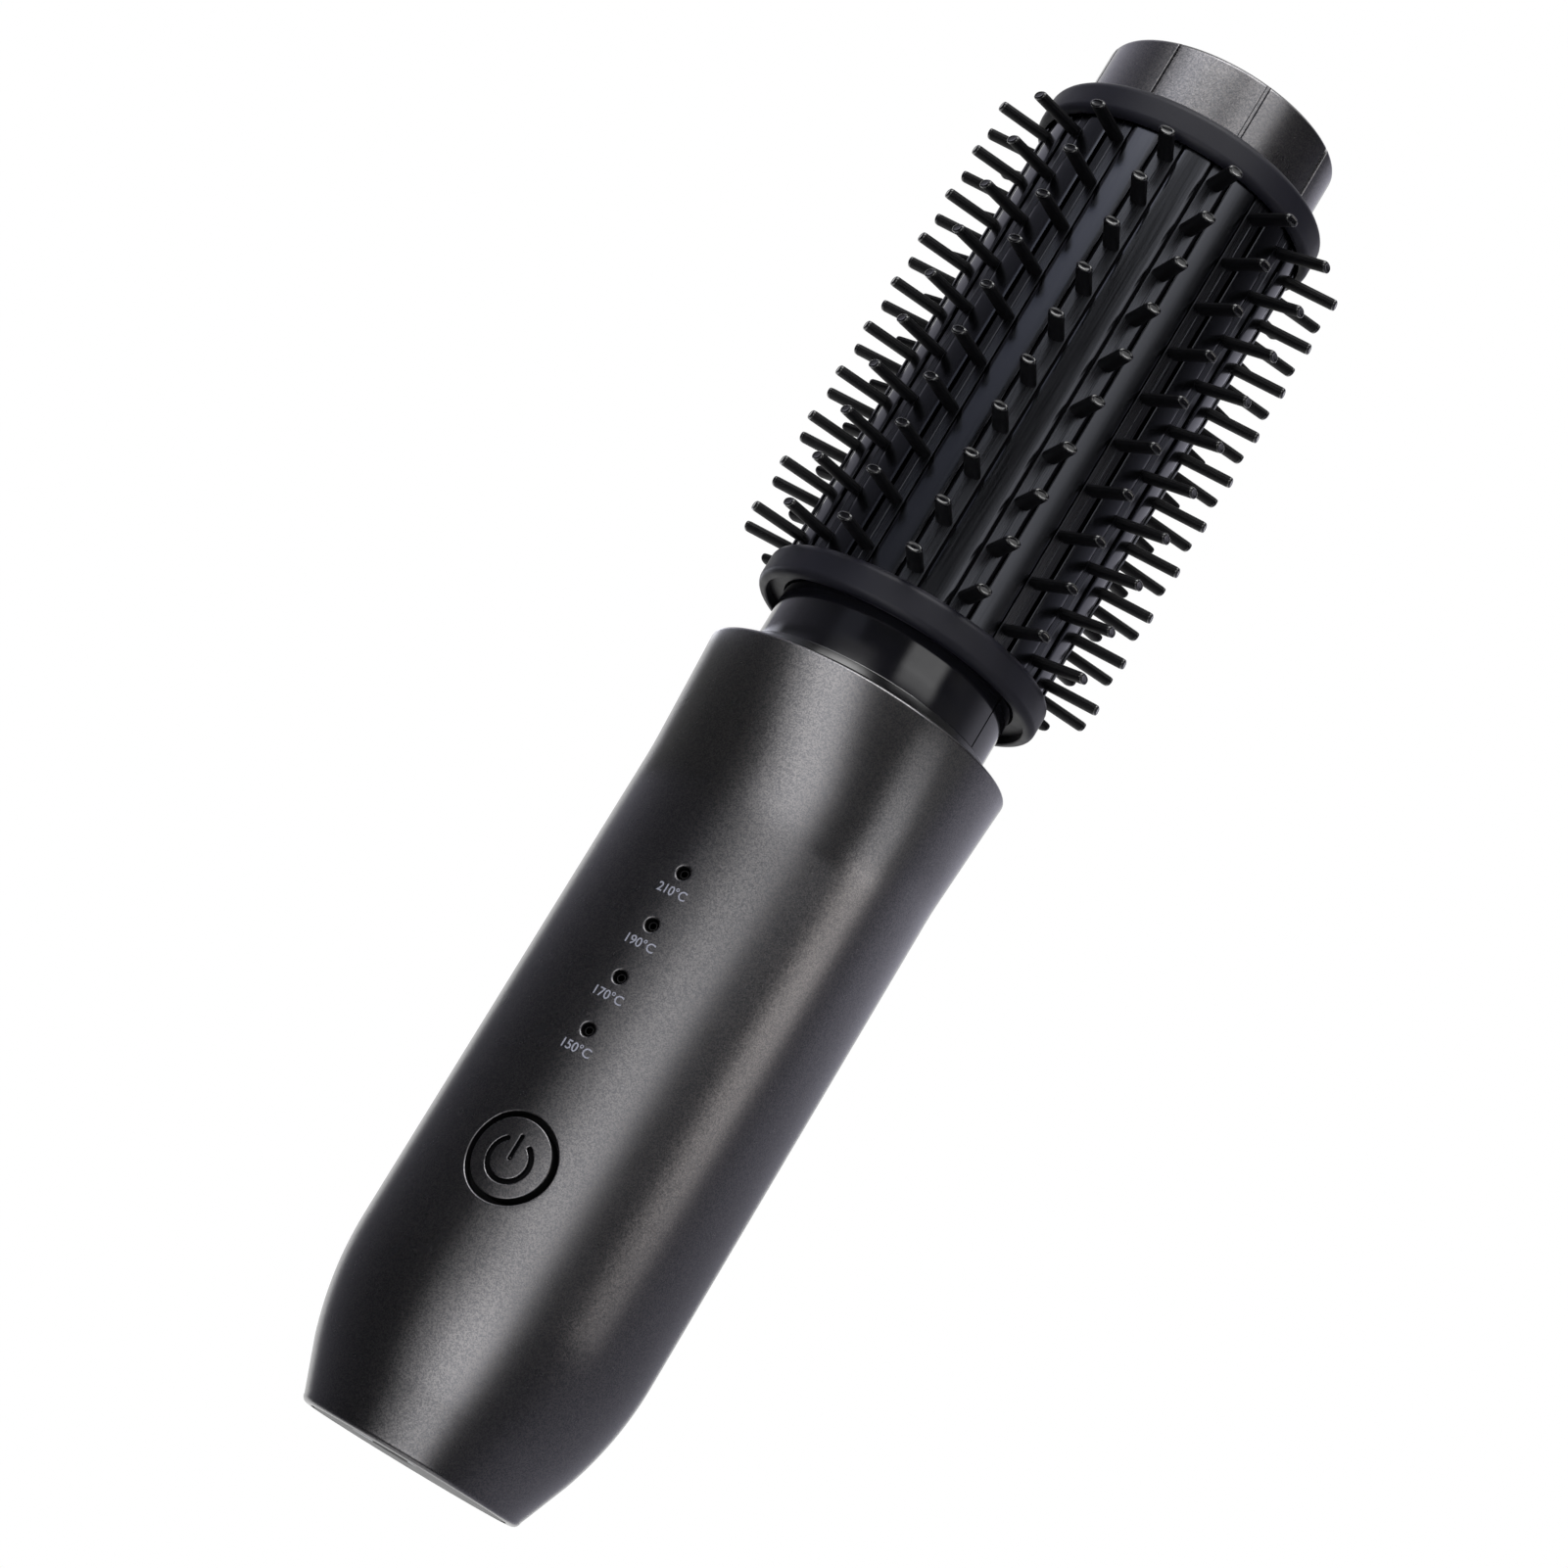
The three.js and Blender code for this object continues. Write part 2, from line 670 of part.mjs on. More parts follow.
// Narrow grooves run up the side of the cap, in line with every second comb strip.
function tipCap() {
  const bottom = barrelTop + gap;
  const cap = revolve([
    [tipRadius - tipWall, bottom],
    [tipRadius, bottom],
    ...arc(tipRadius - tipEdge, tipTop - tipEdge, tipEdge, 0, 90, 3),
    [0, tipTop],
    [0, tipTop - tipWall],
    [tipRadius - tipWall, tipTop - tipWall],
  ]);
  const grooves = [];
  for (let row = 1; row < rowCount; row += 2) {
    const groove = box(
      2 * tipGrooveDepth, tipGrooveWidth, 2 * (tipTop - bottom),
      tipRadius, 0, (tipTop + bottom) / 2,
    );
    grooves.push(groove.rotateZ(rowAngle(row)));
  }
  return cut(cap, ...grooves);
}

function tipPlug() {
  const plugTop = barrelTop + tipPlugHeight;
  const capBore = tipRadius - tipWall;
  const outside = Math.min(spigotRadius, capBore - gap);
  return revolve([
    [outside - wall, tipPlugBottom],
    [outside, tipPlugBottom],
    [outside, plugTop],
    [0, plugTop],
    [0, plugTop - wall],
    [outside - wall, plugTop - wall],
  ], innerSides);
}

// Handle
place("handle_shell", handleShell(), finish.paint);
place("base_cap", baseCap(), finish.satinBlack);
place("usb_c_socket", socketShell(), finish.steel);
place("usb_c_insert", socketInsert(), finish.satinBlack);
place("top_collar", topCollar(), finish.ring);

// Button and switch
const plungerBack = switchFront + plungerHidden;
place("power_button", powerButton(), finish.paint);
place("switch_plunger", levelRod(plungerRadius, plungerFront, plungerBack, buttonHeight), finish.satinBlack);
place("switch_body", switchBody(), finish.chassis);

// Board and indicators
place("control_board", controlBoard(), finish.board);
place("light_guide", lightGuide(), finish.lens);
for (let i = 0; i < ledCount; i += 1) {
  const height = lowestLedHeight + i * ledPitch;
  const chip = box(ledChip, ledChipDepth, ledChip, 0, boardFront - gap - ledChipDepth / 2, height);
  place(`indicator_led_${i + 1}`, chip, finish.lens);
}
screwHeights.forEach((height, i) => place(`board_screw_${i + 1}`, boardScrew(height), finish.steel));

// Battery
place("battery_cell_left", batteryCell(-1), finish.cell);
place("battery_cell_right", batteryCell(1), finish.cell);
place("cell_strap_bottom", cellStrap(cellBottom - gap - strapThickness), finish.steel);
place("cell_strap_top", cellStrap(cellTop + gap), finish.steel);
place("battery_carrier", batteryCarrier(), finish.chassis);

// Neck
place("neck_front_half", neckHalf(1), finish.satinBlack);
place("neck_rear_half", neckHalf(-1), finish.satinBlack);
place("heat_barrier", heatBarrier(), finish.ceramic);

// Head
place("lower_ring", lowerRing(), finish.ring);
place("upper_ring", upperRing(), finish.ring);
place("heating_barrel", heatingBarrel(), finish.barrel);
const strip = combStrip();
for (let row = 0; row < rowCount; row += 1) {
  const name = `comb_strip_${String(row + 1).padStart(2, "0")}`;
  const mesh = place(name, strip, finish.tooth);
  mesh.rotation.z = rowAngle(row);
}

// Heater
place("heater_plate", heaterPlate(), finish.ceramic);
place("heater_block_front", heaterBlock(-1), finish.aluminium);
place("heater_block_rear", heaterBlock(1), finish.aluminium);
const sensorBottom = heaterBottom;
place(
  "temperature_sensor",
  uprightRod(sensorRadius, sensorBottom, sensorBottom + sensorLength, 0, -sensorOffset, 8),
  finish.ceramic,
);
place(
  "thermal_cutoff",
  uprightRod(cutoffRadius, sensorBottom, sensorBottom + cutoffLength, 0, sensorOffset, 8),
  finish.steel,
);

// Tip
place("tip_cap", tipCap(), finish.paint);
place("tip_plug", tipPlug(), finish.satinBlack);

export default brush;
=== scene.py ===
# %% [markdown]
# # A cordless heated styling brush
#
# The brush stands on its flat base. A painted sleeve holds the button and four indicator lights. A short
# black neck carries the head, a metal barrel with sixteen rows of rigid teeth between two matt rings. This
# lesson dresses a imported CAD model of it: every piece is made around the model's own sizes.

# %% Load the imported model
from collections import namedtuple
from math import asin, atan2, copysign, cos, hypot, pi, radians, sin, sqrt, tan

import bmesh
import bpy
from mathutils import Matrix, Vector


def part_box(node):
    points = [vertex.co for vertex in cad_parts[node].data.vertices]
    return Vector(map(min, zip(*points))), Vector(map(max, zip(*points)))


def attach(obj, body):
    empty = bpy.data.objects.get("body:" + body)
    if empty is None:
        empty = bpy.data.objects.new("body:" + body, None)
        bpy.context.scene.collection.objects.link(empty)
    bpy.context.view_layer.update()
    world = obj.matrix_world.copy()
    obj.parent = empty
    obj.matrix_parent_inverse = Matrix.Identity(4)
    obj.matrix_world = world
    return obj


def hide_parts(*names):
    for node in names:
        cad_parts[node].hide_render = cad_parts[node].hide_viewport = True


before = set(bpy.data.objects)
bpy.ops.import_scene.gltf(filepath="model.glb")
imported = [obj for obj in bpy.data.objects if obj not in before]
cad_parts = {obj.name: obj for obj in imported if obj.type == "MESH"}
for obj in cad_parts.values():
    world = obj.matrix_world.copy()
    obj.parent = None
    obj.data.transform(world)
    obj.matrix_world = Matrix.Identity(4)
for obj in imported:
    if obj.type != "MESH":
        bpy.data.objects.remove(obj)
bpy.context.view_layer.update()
MM = 0.001

# %% [markdown]
# ## Sizes
#
# The main heights and radii are read off the model, so that a piece made here always meets its neighbours.
# What the model doesn't tell, such as the reach of a rounded edge, is a named value in millimetres.

# %% Sizes in millimetres
def span(name, axis):
    """The lowest and highest coordinate of a CAD node along an axis, in millimetres."""
    low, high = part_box(name)
    return low[axis] / MM, high[axis] / MM


FIT = 0.3  # clearance between two pieces
WALL = 1.6
rim_top = span("handle_shell", 2)[1]
rim_radius = span("handle_shell", 0)[1]
rim_flare = 1.0
grip_radius = rim_radius - rim_flare
base_radius = grip_radius - 5.65
cone_length = 8
cone_slope = tan(radians(19.1))
flare_length = 19.9
flare_bend = 4
flare_rise = rim_flare / (flare_length - flare_bend / 2)
button_height = sum(span("power_button", 2)) / 2
button_radius = 5.1
recess_radius = button_radius + 1.2
led_pitch = 8
led_heights = [58.3 + led_pitch * i for i in range(4)]
led_radius = 0.95
collar_bottom, collar_top = span("top_collar", 2)
neck_bottom, neck_top = span("neck_front_half", 2)
lower_ring_bottom, lower_ring_top = span("lower_ring", 2)
upper_ring_bottom, upper_ring_top = span("upper_ring", 2)
ring_radius = span("lower_ring", 0)[1]
barrel_bottom, barrel_top = span("heating_barrel", 2)
barrel_radius = 20.4
tip_top = span("tip_cap", 2)[1]
tip_radius = span("tip_cap", 0)[1]
print("height", round(tip_top, 2), "grip radius", round(grip_radius, 3))

# %% [markdown]
# ## The camera
#
# The picture was taken from a little under the base, with the camera rolled by 31 degrees, so that the
# brush leans across the frame. The three axes of the camera are built from those angles, and the lens is a
# short telephoto. Nothing is shifted and nothing is out of focus.

# %% Camera
def placed(name, data):
    """An object that shows the given data, in the scene."""
    made = bpy.data.objects.new(name, data)
    bpy.context.collection.objects.link(made)
    return made


swing, climb, roll = (radians(a) for a in (25.057, -12.778, 31.23))
back = Vector((sin(swing) * cos(climb), -cos(swing) * cos(climb), sin(climb)))
right = Vector((cos(swing), sin(swing), 0))
up = back.cross(right)
side = right * cos(roll) + up * sin(roll)
top = up * cos(roll) - right * sin(roll)
camera_data = bpy.data.cameras.new("camera")
camera_data.sensor_fit = "HORIZONTAL"
camera_data.sensor_width = 36
camera_data.lens = 89.05
camera_data.clip_start = 0.01
camera = placed("camera", camera_data)
place = Matrix((side, top, back)).transposed().to_4x4()
place.translation = Vector((214.933, -469.503, -13.117)) * MM
camera.matrix_world = place
bpy.context.scene.camera = camera
bpy.context.scene.view_settings.view_transform = "Standard"

# %% [markdown]
# ## Helpers for materials
#
# Every colour is written as an sRGB hex value and turned to linear light by one function. Every shader node
# is added by one other function, which takes the values of its inputs, or what feeds them, and its
# settings. The short functions after them make the few groups of nodes that most finishes share.

# %% Colour and nodes
def linear(code):
    """An sRGB hex colour as linear light."""
    parts = [int(code[i:i + 2], 16) / 255 for i in (1, 3, 5)]
    return (*(c / 12.92 if c <= 0.04045 else ((c + 0.055) / 1.055) ** 2.4 for c in parts), 1.0)


def node(tree, kind, inputs=None, **settings):
    """Add a node. An input is a value, an output of another node, or a node whose first output feeds it."""
    made = tree.nodes.new(kind)
    for key, value in settings.items():
        setattr(made, key, value)
    for key, value in (inputs or {}).items():
        feed = value.outputs[0] if isinstance(value, bpy.types.Node) else value
        if isinstance(feed, bpy.types.NodeSocket):
            tree.links.new(feed, made.inputs[key])
        else:
            made.inputs[key].default_value = feed
    return made


def new_material(name):
    """A material with an empty node tree, ready for a shader."""
    made = bpy.data.materials.new(name)
    made.use_nodes = True
    made.node_tree.nodes.clear()
    return made, made.node_tree


def show(tree, surface):
    """Send a shader to the material's output."""
    node(tree, "ShaderNodeOutputMaterial", {"Surface": surface})


def millimetres(tree, stretch=(1, 1, 1)):
    """Object coordinates in millimetres, which stay with the piece from any side."""
    where = node(tree, "ShaderNodeTexCoord").outputs["Object"]
    return node(tree, "ShaderNodeMapping", {"Vector": where, "Scale": [s / MM for s in stretch]})


def noise(tree, place, scale, detail):
    """Soft noise, as many patches to the millimetre as the scale says."""
    return node(tree, "ShaderNodeTexNoise", {"Vector": place, "Scale": scale, "Detail": detail})


def spread(tree, value, low, high, start=0.3, end=0.7):
    """A value that mostly lies between start and end, spread from low to high."""
    limits = {"From Min": start, "From Max": end, "To Min": low, "To Max": high}
    return node(tree, "ShaderNodeMapRange", {"Value": value, **limits})


def relief(tree, height, strength, depth):
    """The normal of a surface with fine relief, its depth in millimetres."""
    return node(tree, "ShaderNodeBump", {"Height": height, "Strength": strength, "Distance": depth * MM})


# %% [markdown]
# ## Graphite metallic paint
#
# The sleeve, the button and the cap are sprayed with a dark paint that is full of fine aluminium flakes,
# under a thin clear coat. Real flakes are a few hundredths of a millimetre wide. They are drawn about 0.15
# mm wide, because finer ones would vanish between the pixels. Each flake is a cell of a Voronoi pattern: it
# leans its own way, which makes it flash or stay dark, and its colour lies somewhere between two greys.

# %% Paint
flake_lean = 0.05


def flake_paint(name):
    """Dark metallic paint, whose flakes lean either way by up to half of flake_lean."""
    made, tree = new_material(name)
    place = millimetres(tree)
    flakes = node(tree, "ShaderNodeTexVoronoi", {"Vector": place, "Scale": 6.5}).outputs["Color"]

    def vector(operation, *values):
        return node(tree, "ShaderNodeVectorMath", dict(enumerate(values)), operation=operation)

    lean = vector("MULTIPLY_ADD", flakes, [flake_lean] * 3, [-flake_lean / 2] * 3)
    upright = node(tree, "ShaderNodeNewGeometry").outputs["Normal"]
    chance = node(tree, "ShaderNodeSeparateColor", {"Color": flakes}).outputs["Red"]
    bright = node(tree, "ShaderNodeMapRange", {"Value": chance}, interpolation_type="SMOOTHSTEP")
    colour = node(tree, "ShaderNodeMix", {
        "Factor": bright, "A": linear("#4f4f52"), "B": linear("#676566"),
    }, data_type="RGBA")
    show(tree, node(tree, "ShaderNodeBsdfPrincipled", {
        "Base Color": colour.outputs["Result"], "Metallic": 0.97, "Coat Weight": 0.35, "Coat Roughness": 0.2,
        "Roughness": spread(tree, noise(tree, place, 0.35, 2.0), 0.26, 0.3, 0.0, 1.0),
        "Normal": vector("NORMALIZE", vector("ADD", upright, lean)),
    }))
    return made


sleeve_paint = flake_paint("graphite_flake_paint")
cap_paint = flake_paint("graphite_flake_paint_cap")

# %% [markdown]
# ## Metals
#
# The barrel is an extruded tube, polished and anodised dark. Extrusion leaves very fine lines along the
# tube, so the noise is stretched along Z, and it stirs the roughness and the surface a little. The same
# function makes the plated steel, the heater's aluminium and the gold of the contacts.

# %% Drawn metals
def drawn_metal(name, colour, low, high, lines, depth):
    """A metal with fine lines along Z, whose roughness runs between two levels."""
    made, tree = new_material(name)
    streaks = noise(tree, millimetres(tree, (1, 1, 0.02)), lines, 3.0)
    show(tree, node(tree, "ShaderNodeBsdfPrincipled", {
        "Base Color": linear(colour), "Metallic": 1.0, "Roughness": spread(tree, streaks, low, high),
        "Normal": relief(tree, streaks, 0.5, depth),
    }))
    return made


land_metal = drawn_metal("anodised_aluminium_land", "#3e3f43", 0.15, 0.22, 5.0, 0.006)
bar_metal = drawn_metal("anodised_aluminium_bar", "#3a3b3f", 0.24, 0.34, 7.0, 0.012)
# The channels' walls and floors are coloured near black: painted shade in the channels.
channel_shade_metal = drawn_metal("anodised_aluminium_channel", "#0c0c0e", 0.4, 0.5, 5.0, 0.004)
nickel = drawn_metal("nickel_plated_steel", "#b9bbbf", 0.22, 0.32, 3.0, 0.003)
heater_metal = drawn_metal("extruded_aluminium", "#a8aaad", 0.32, 0.45, 3.0, 0.006)
gold = drawn_metal("gold_contact", "#d2a95a", 0.2, 0.3, 4.0, 0.002)

# %% [markdown]
# ## Plastics
#
# The teeth are matt glass-filled nylon with polished tips, the neck is gloss black ABS, and the rings are
# heat-resistant PBT with a fine spark-eroded texture. One function makes them all: a moulded plastic is a
# colour, a roughness that varies a little, and grain of a given size and depth.

# %% Moulded plastics
def moulded(name, colour, low, high, grain, depth, shine=0.5):
    """A plastic whose roughness drifts between two levels, with grain in millimetres."""
    made, tree = new_material(name)
    place = millimetres(tree)
    show(tree, node(tree, "ShaderNodeBsdfPrincipled", {
        "Base Color": linear(colour), "Roughness": spread(tree, noise(tree, place, 0.3, 2.0), low, high),
        "Normal": relief(tree, noise(tree, place, 1 / grain, 3.0), 0.6, depth), "Specular IOR Level": shine,
    }))
    return made


nylon = moulded("black_nylon", "#08080a", 0.45, 0.55, 0.6, 0.006, shine=0.1)
tip_nylon = moulded("polished_nylon_tip", "#070709", 0.1, 0.15, 0.6, 0.002, shine=0.6)
neck_abs = moulded("gloss_black_abs", "#0e0e12", 0.09, 0.12, 0.5, 0.001)
ring_pbt = moulded("matt_pbt", "#13131a", 0.42, 0.48, 0.25, 0.015, shine=0.18)
collar_abs = moulded("gloss_collar_abs", "#0e0e10", 0.12, 0.17, 0.4, 0.002, shine=1.0)
base_abs = moulded("satin_base_abs", "#17171a", 0.4, 0.46, 0.3, 0.006)
chassis_abs = moulded("black_chassis_abs", "#262628", 0.45, 0.6, 0.3, 0.01)
# Bare black plastic where no paint lies: inside the sleeve, behind the button and on the light guide. It is
# made near black and dull, so it also paints the shade in the openings and the gap round the button. On the
# collar's foot and the neck's seam faces it is painted shade only.
bare_abs_and_shade = moulded("dark_recess_abs", "#060607", 0.5, 0.6, 0.3, 0.005, shine=0.2)
smoked = moulded("smoked_polycarbonate", "#060608", 0.2, 0.3, 1.0, 0.002, shine=0.25)
board_mask = moulded("green_solder_mask", "#1c5a36", 0.3, 0.42, 0.5, 0.004)
shrink_wrap = moulded("blue_shrink_wrap", "#3f78b0", 0.22, 0.35, 2.0, 0.02)
ceramic = moulded("unglazed_alumina", "#d8d4c8", 0.6, 0.75, 0.2, 0.01)
label_ink = moulded("lavender_grey_ink", "#72747f", 0.45, 0.55, 0.2, 0.002)
# Black ink in the symbol's strokes, made near black and dull so that it also paints the shade of the deep
# groove.
symbol_ink_and_shade = moulded("black_symbol_ink", "#040405", 0.6, 0.7, 0.2, 0.002, shine=0.05)

# %% [markdown]
# ## Helpers for shapes
#
# Most pieces of this brush are tubes through loops of points. Many of them are turned forms: a closed
# outline of radius and height goes round the axis. A mesh is made from points in millimetres. Edges sharper
# than 32 degrees stay sharp, and face-weighted normals keep flat walls flat beside their rounded edges.

# %% Meshes
def new_piece(name, points, faces, materials, choice=None):
    """A mesh object from points in millimetres, with smooth shading and crisp edges."""
    mesh = bpy.data.meshes.new(name)
    mesh.from_pydata([[c * MM for c in p] for p in points], [], faces)
    for item in materials:
        mesh.materials.append(item)
    mesh.polygons.foreach_set("use_smooth", [True] * len(mesh.polygons))
    if choice:
        mesh.polygons.foreach_set("material_index", choice)
    mesh.set_sharp_from_angle(angle=radians(32))
    mesh.update()
    return placed(name, mesh)


def plain_mesh(piece):
    """What a piece shows with its modifiers, as a new mesh."""
    bpy.context.view_layer.update()
    return bpy.data.meshes.new_from_object(piece.evaluated_get(bpy.context.evaluated_depsgraph_get()))


def settle(piece):
    """Turn the piece and its modifiers into a plain mesh."""
    mesh = plain_mesh(piece)
    piece.modifiers.clear()
    piece.data = mesh
    mesh.name = piece.name
    return piece


def even_shading(piece):
    """Face-weighted normals, settled into the mesh."""
    weighted = piece.modifiers.new("even_shading", "WEIGHTED_NORMAL")
    weighted.keep_sharp = True
    return settle(piece)


def mount(piece, body, slot, *nodes):
    """Put a finished piece on its body and hide the CAD nodes that it stands for. The slot is not used."""
    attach(piece, body)
    if nodes:
        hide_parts(*nodes)
    print(piece.name, len(piece.data.polygons), "faces")
    return piece


# %% Outlines
def clamp(value):
    """A value held between 0 and 1."""
    return min(max(value, 0), 1)


def arc(radius, height, reach, start, end, steps):
    """Points of an arc in an outline, with angles in degrees from the outward direction."""
    angles = [radians(start + (end - start) * i / steps) for i in range(steps + 1)]
    return [(radius + reach * cos(a), height + reach * sin(a)) for a in angles]


def bezier(a, b, c, steps):
    """Points of a quadratic curve from a to c, drawn towards b."""
    places = [i / steps for i in range(steps + 1)]
    shares = [((1 - t) ** 2, 2 * t * (1 - t), t * t) for t in places]
    return [tuple(u * p + v * q + w * r for p, q, r in zip(a, b, c)) for u, v, w in shares]


def on_axis(radius, angle, height):
    """A point by its radius and its angle from the front, where the button is, towards +X."""
    return (radius * sin(angle), -radius * cos(angle), height)


square = [(-1, -1), (1, -1), (1, 1), (-1, 1)]  # corners, anticlockwise


def circle(radius, sides):
    """Points evenly round a circle, anticlockwise."""
    angles = [2 * pi * i / sides for i in range(sides)]
    return [(radius * cos(a), radius * sin(a)) for a in angles]


# %% Tubes and turned forms
def tube(loops, joined=False):
    """Points and faces of a tube through loops of points, which run anticlockwise as seen from the last one.
    A loop of one point is a pole. The last loop joins the first, or both ends are capped."""
    points, faces, rings = [], [], []
    for loop in loops:
        rings.append(range(len(points), len(points) + len(loop)))
        points += loop
    for low, high in zip(rings, rings[1:] + rings[:1] if joined else rings[1:]):
        count = max(len(low), len(high))
        for i in range(count):
            j = (i + 1) % count
            if len(low) == len(high) == count > 1:
                faces.append((low[i], low[j], high[j], high[i]))
            elif len(high) > 1:
                faces.append((low[0], high[j], high[i]))
            elif len(low) > 1:
                faces.append((low[i], low[j], high[0]))
    for end in [] if joined else [rings[0][::-1], rings[-1]]:
        if len(end) > 1:
            faces.append(tuple(end))
    return points, faces


def turned(name, outline, columns, material, drawn_in=None):
    """A closed outline, up the outside and down the inside, turned once round the axis, in a number of even
    steps or at a list of angles. A function of the radius and the column can draw points in."""
    angles = columns if isinstance(columns, list) else [2 * pi * i / columns for i in range(columns)]
    loops = []
    for radius, height in outline:
        round_it = enumerate(angles if radius > 1e-6 else angles[:1])
        loops.append([on_axis(drawn_in(radius, c) if drawn_in else radius, a, height) for c, a in round_it])
    return even_shading(new_piece(name, *tube(loops, joined=True), [material]))


def extruded(section, bottom, top):
    """A straight tube between two heights, from a section that runs anticlockwise as seen from above."""
    return tube([[(x, y, z) for x, y in section] for z in (bottom, top)])


def together(parts):
    """The points and faces of several parts as those of one mesh."""
    points, faces = [], []
    for more_points, more_faces in parts:
        faces += [tuple(len(points) + corner for corner in face) for face in more_faces]
        points += more_points
    return points, faces


# %% [markdown]
# ## The painted sleeve
#
# The sleeve is straight over the grip, drawn in to the base through a soft bend, and flared a little at the
# rim. It has one big hole for the button and four small ones for the lights. A boolean would leave ragged
# shading round them, so the wall is a grid that is opened: a square of cells is left out, and rings
# of points run from its edge to the circle, over a small rounded edge, and through the wall to the same
# opening inside.

# %% Outline of the sleeve
cone_top = base_radius + cone_length * cone_slope
bend_height = cone_length + (grip_radius - cone_top) / cone_slope
shoulder = 2 * bend_height - cone_length
flare_start = rim_top - flare_length
base_edge = 1
rim_edge = 0.5


def grip_outline(inset, bend_steps, straight, flare_steps):
    """The outline from the cone to the rim, moved inwards, with rows at the given heights of the grip."""
    bend = bezier((cone_top, cone_length), (grip_radius, bend_height), (grip_radius, shoulder), bend_steps)
    flare_middle = (grip_radius, flare_start + flare_bend / 2)
    flare_end = (grip_radius + flare_rise * flare_bend / 2, flare_start + flare_bend)
    flare = bezier((grip_radius, flare_start), flare_middle, flare_end, flare_steps)
    cone = [tuple(a + (b - a) * i / 5 for a, b in zip(flare_end, (rim_radius, rim_top))) for i in range(1, 6)]
    rows = bend + [(grip_radius, height) for height in straight] + flare + cone
    return [(radius - inset, height) for radius, height in rows]


# %% Openings of the sleeve
# Beside its height and its radius, an opening has the half width of its square in columns and its half
# height in millimetres, the number of cells up that square, and the reach of its rounded edge.
Opening = namedtuple("Opening", "height radius columns half cells edge")
sleeve_columns = 240
column_angle = 2 * pi / sleeve_columns
openings = [Opening(button_height, recess_radius, 13, 7.5, 24, 0.24)]
openings += [Opening(height, led_radius, 3, 1.7, 6, 0.28) for height in led_heights]


def straight_rows():
    """Heights of the rows over the straight grip, with the rows that each opening needs."""
    rows = []
    for hole in openings:
        rows += [hole.height - hole.half + 2 * hole.half * i / hole.cells for i in range(hole.cells + 1)]
    ends = [shoulder] + rows + [flare_start]
    for low, high in zip(ends, ends[1:]):
        extra = int((high - low) // 3)
        rows += [low + (high - low) * i / (extra + 1) for i in range(1, extra + 1)]
    return sorted(rows)


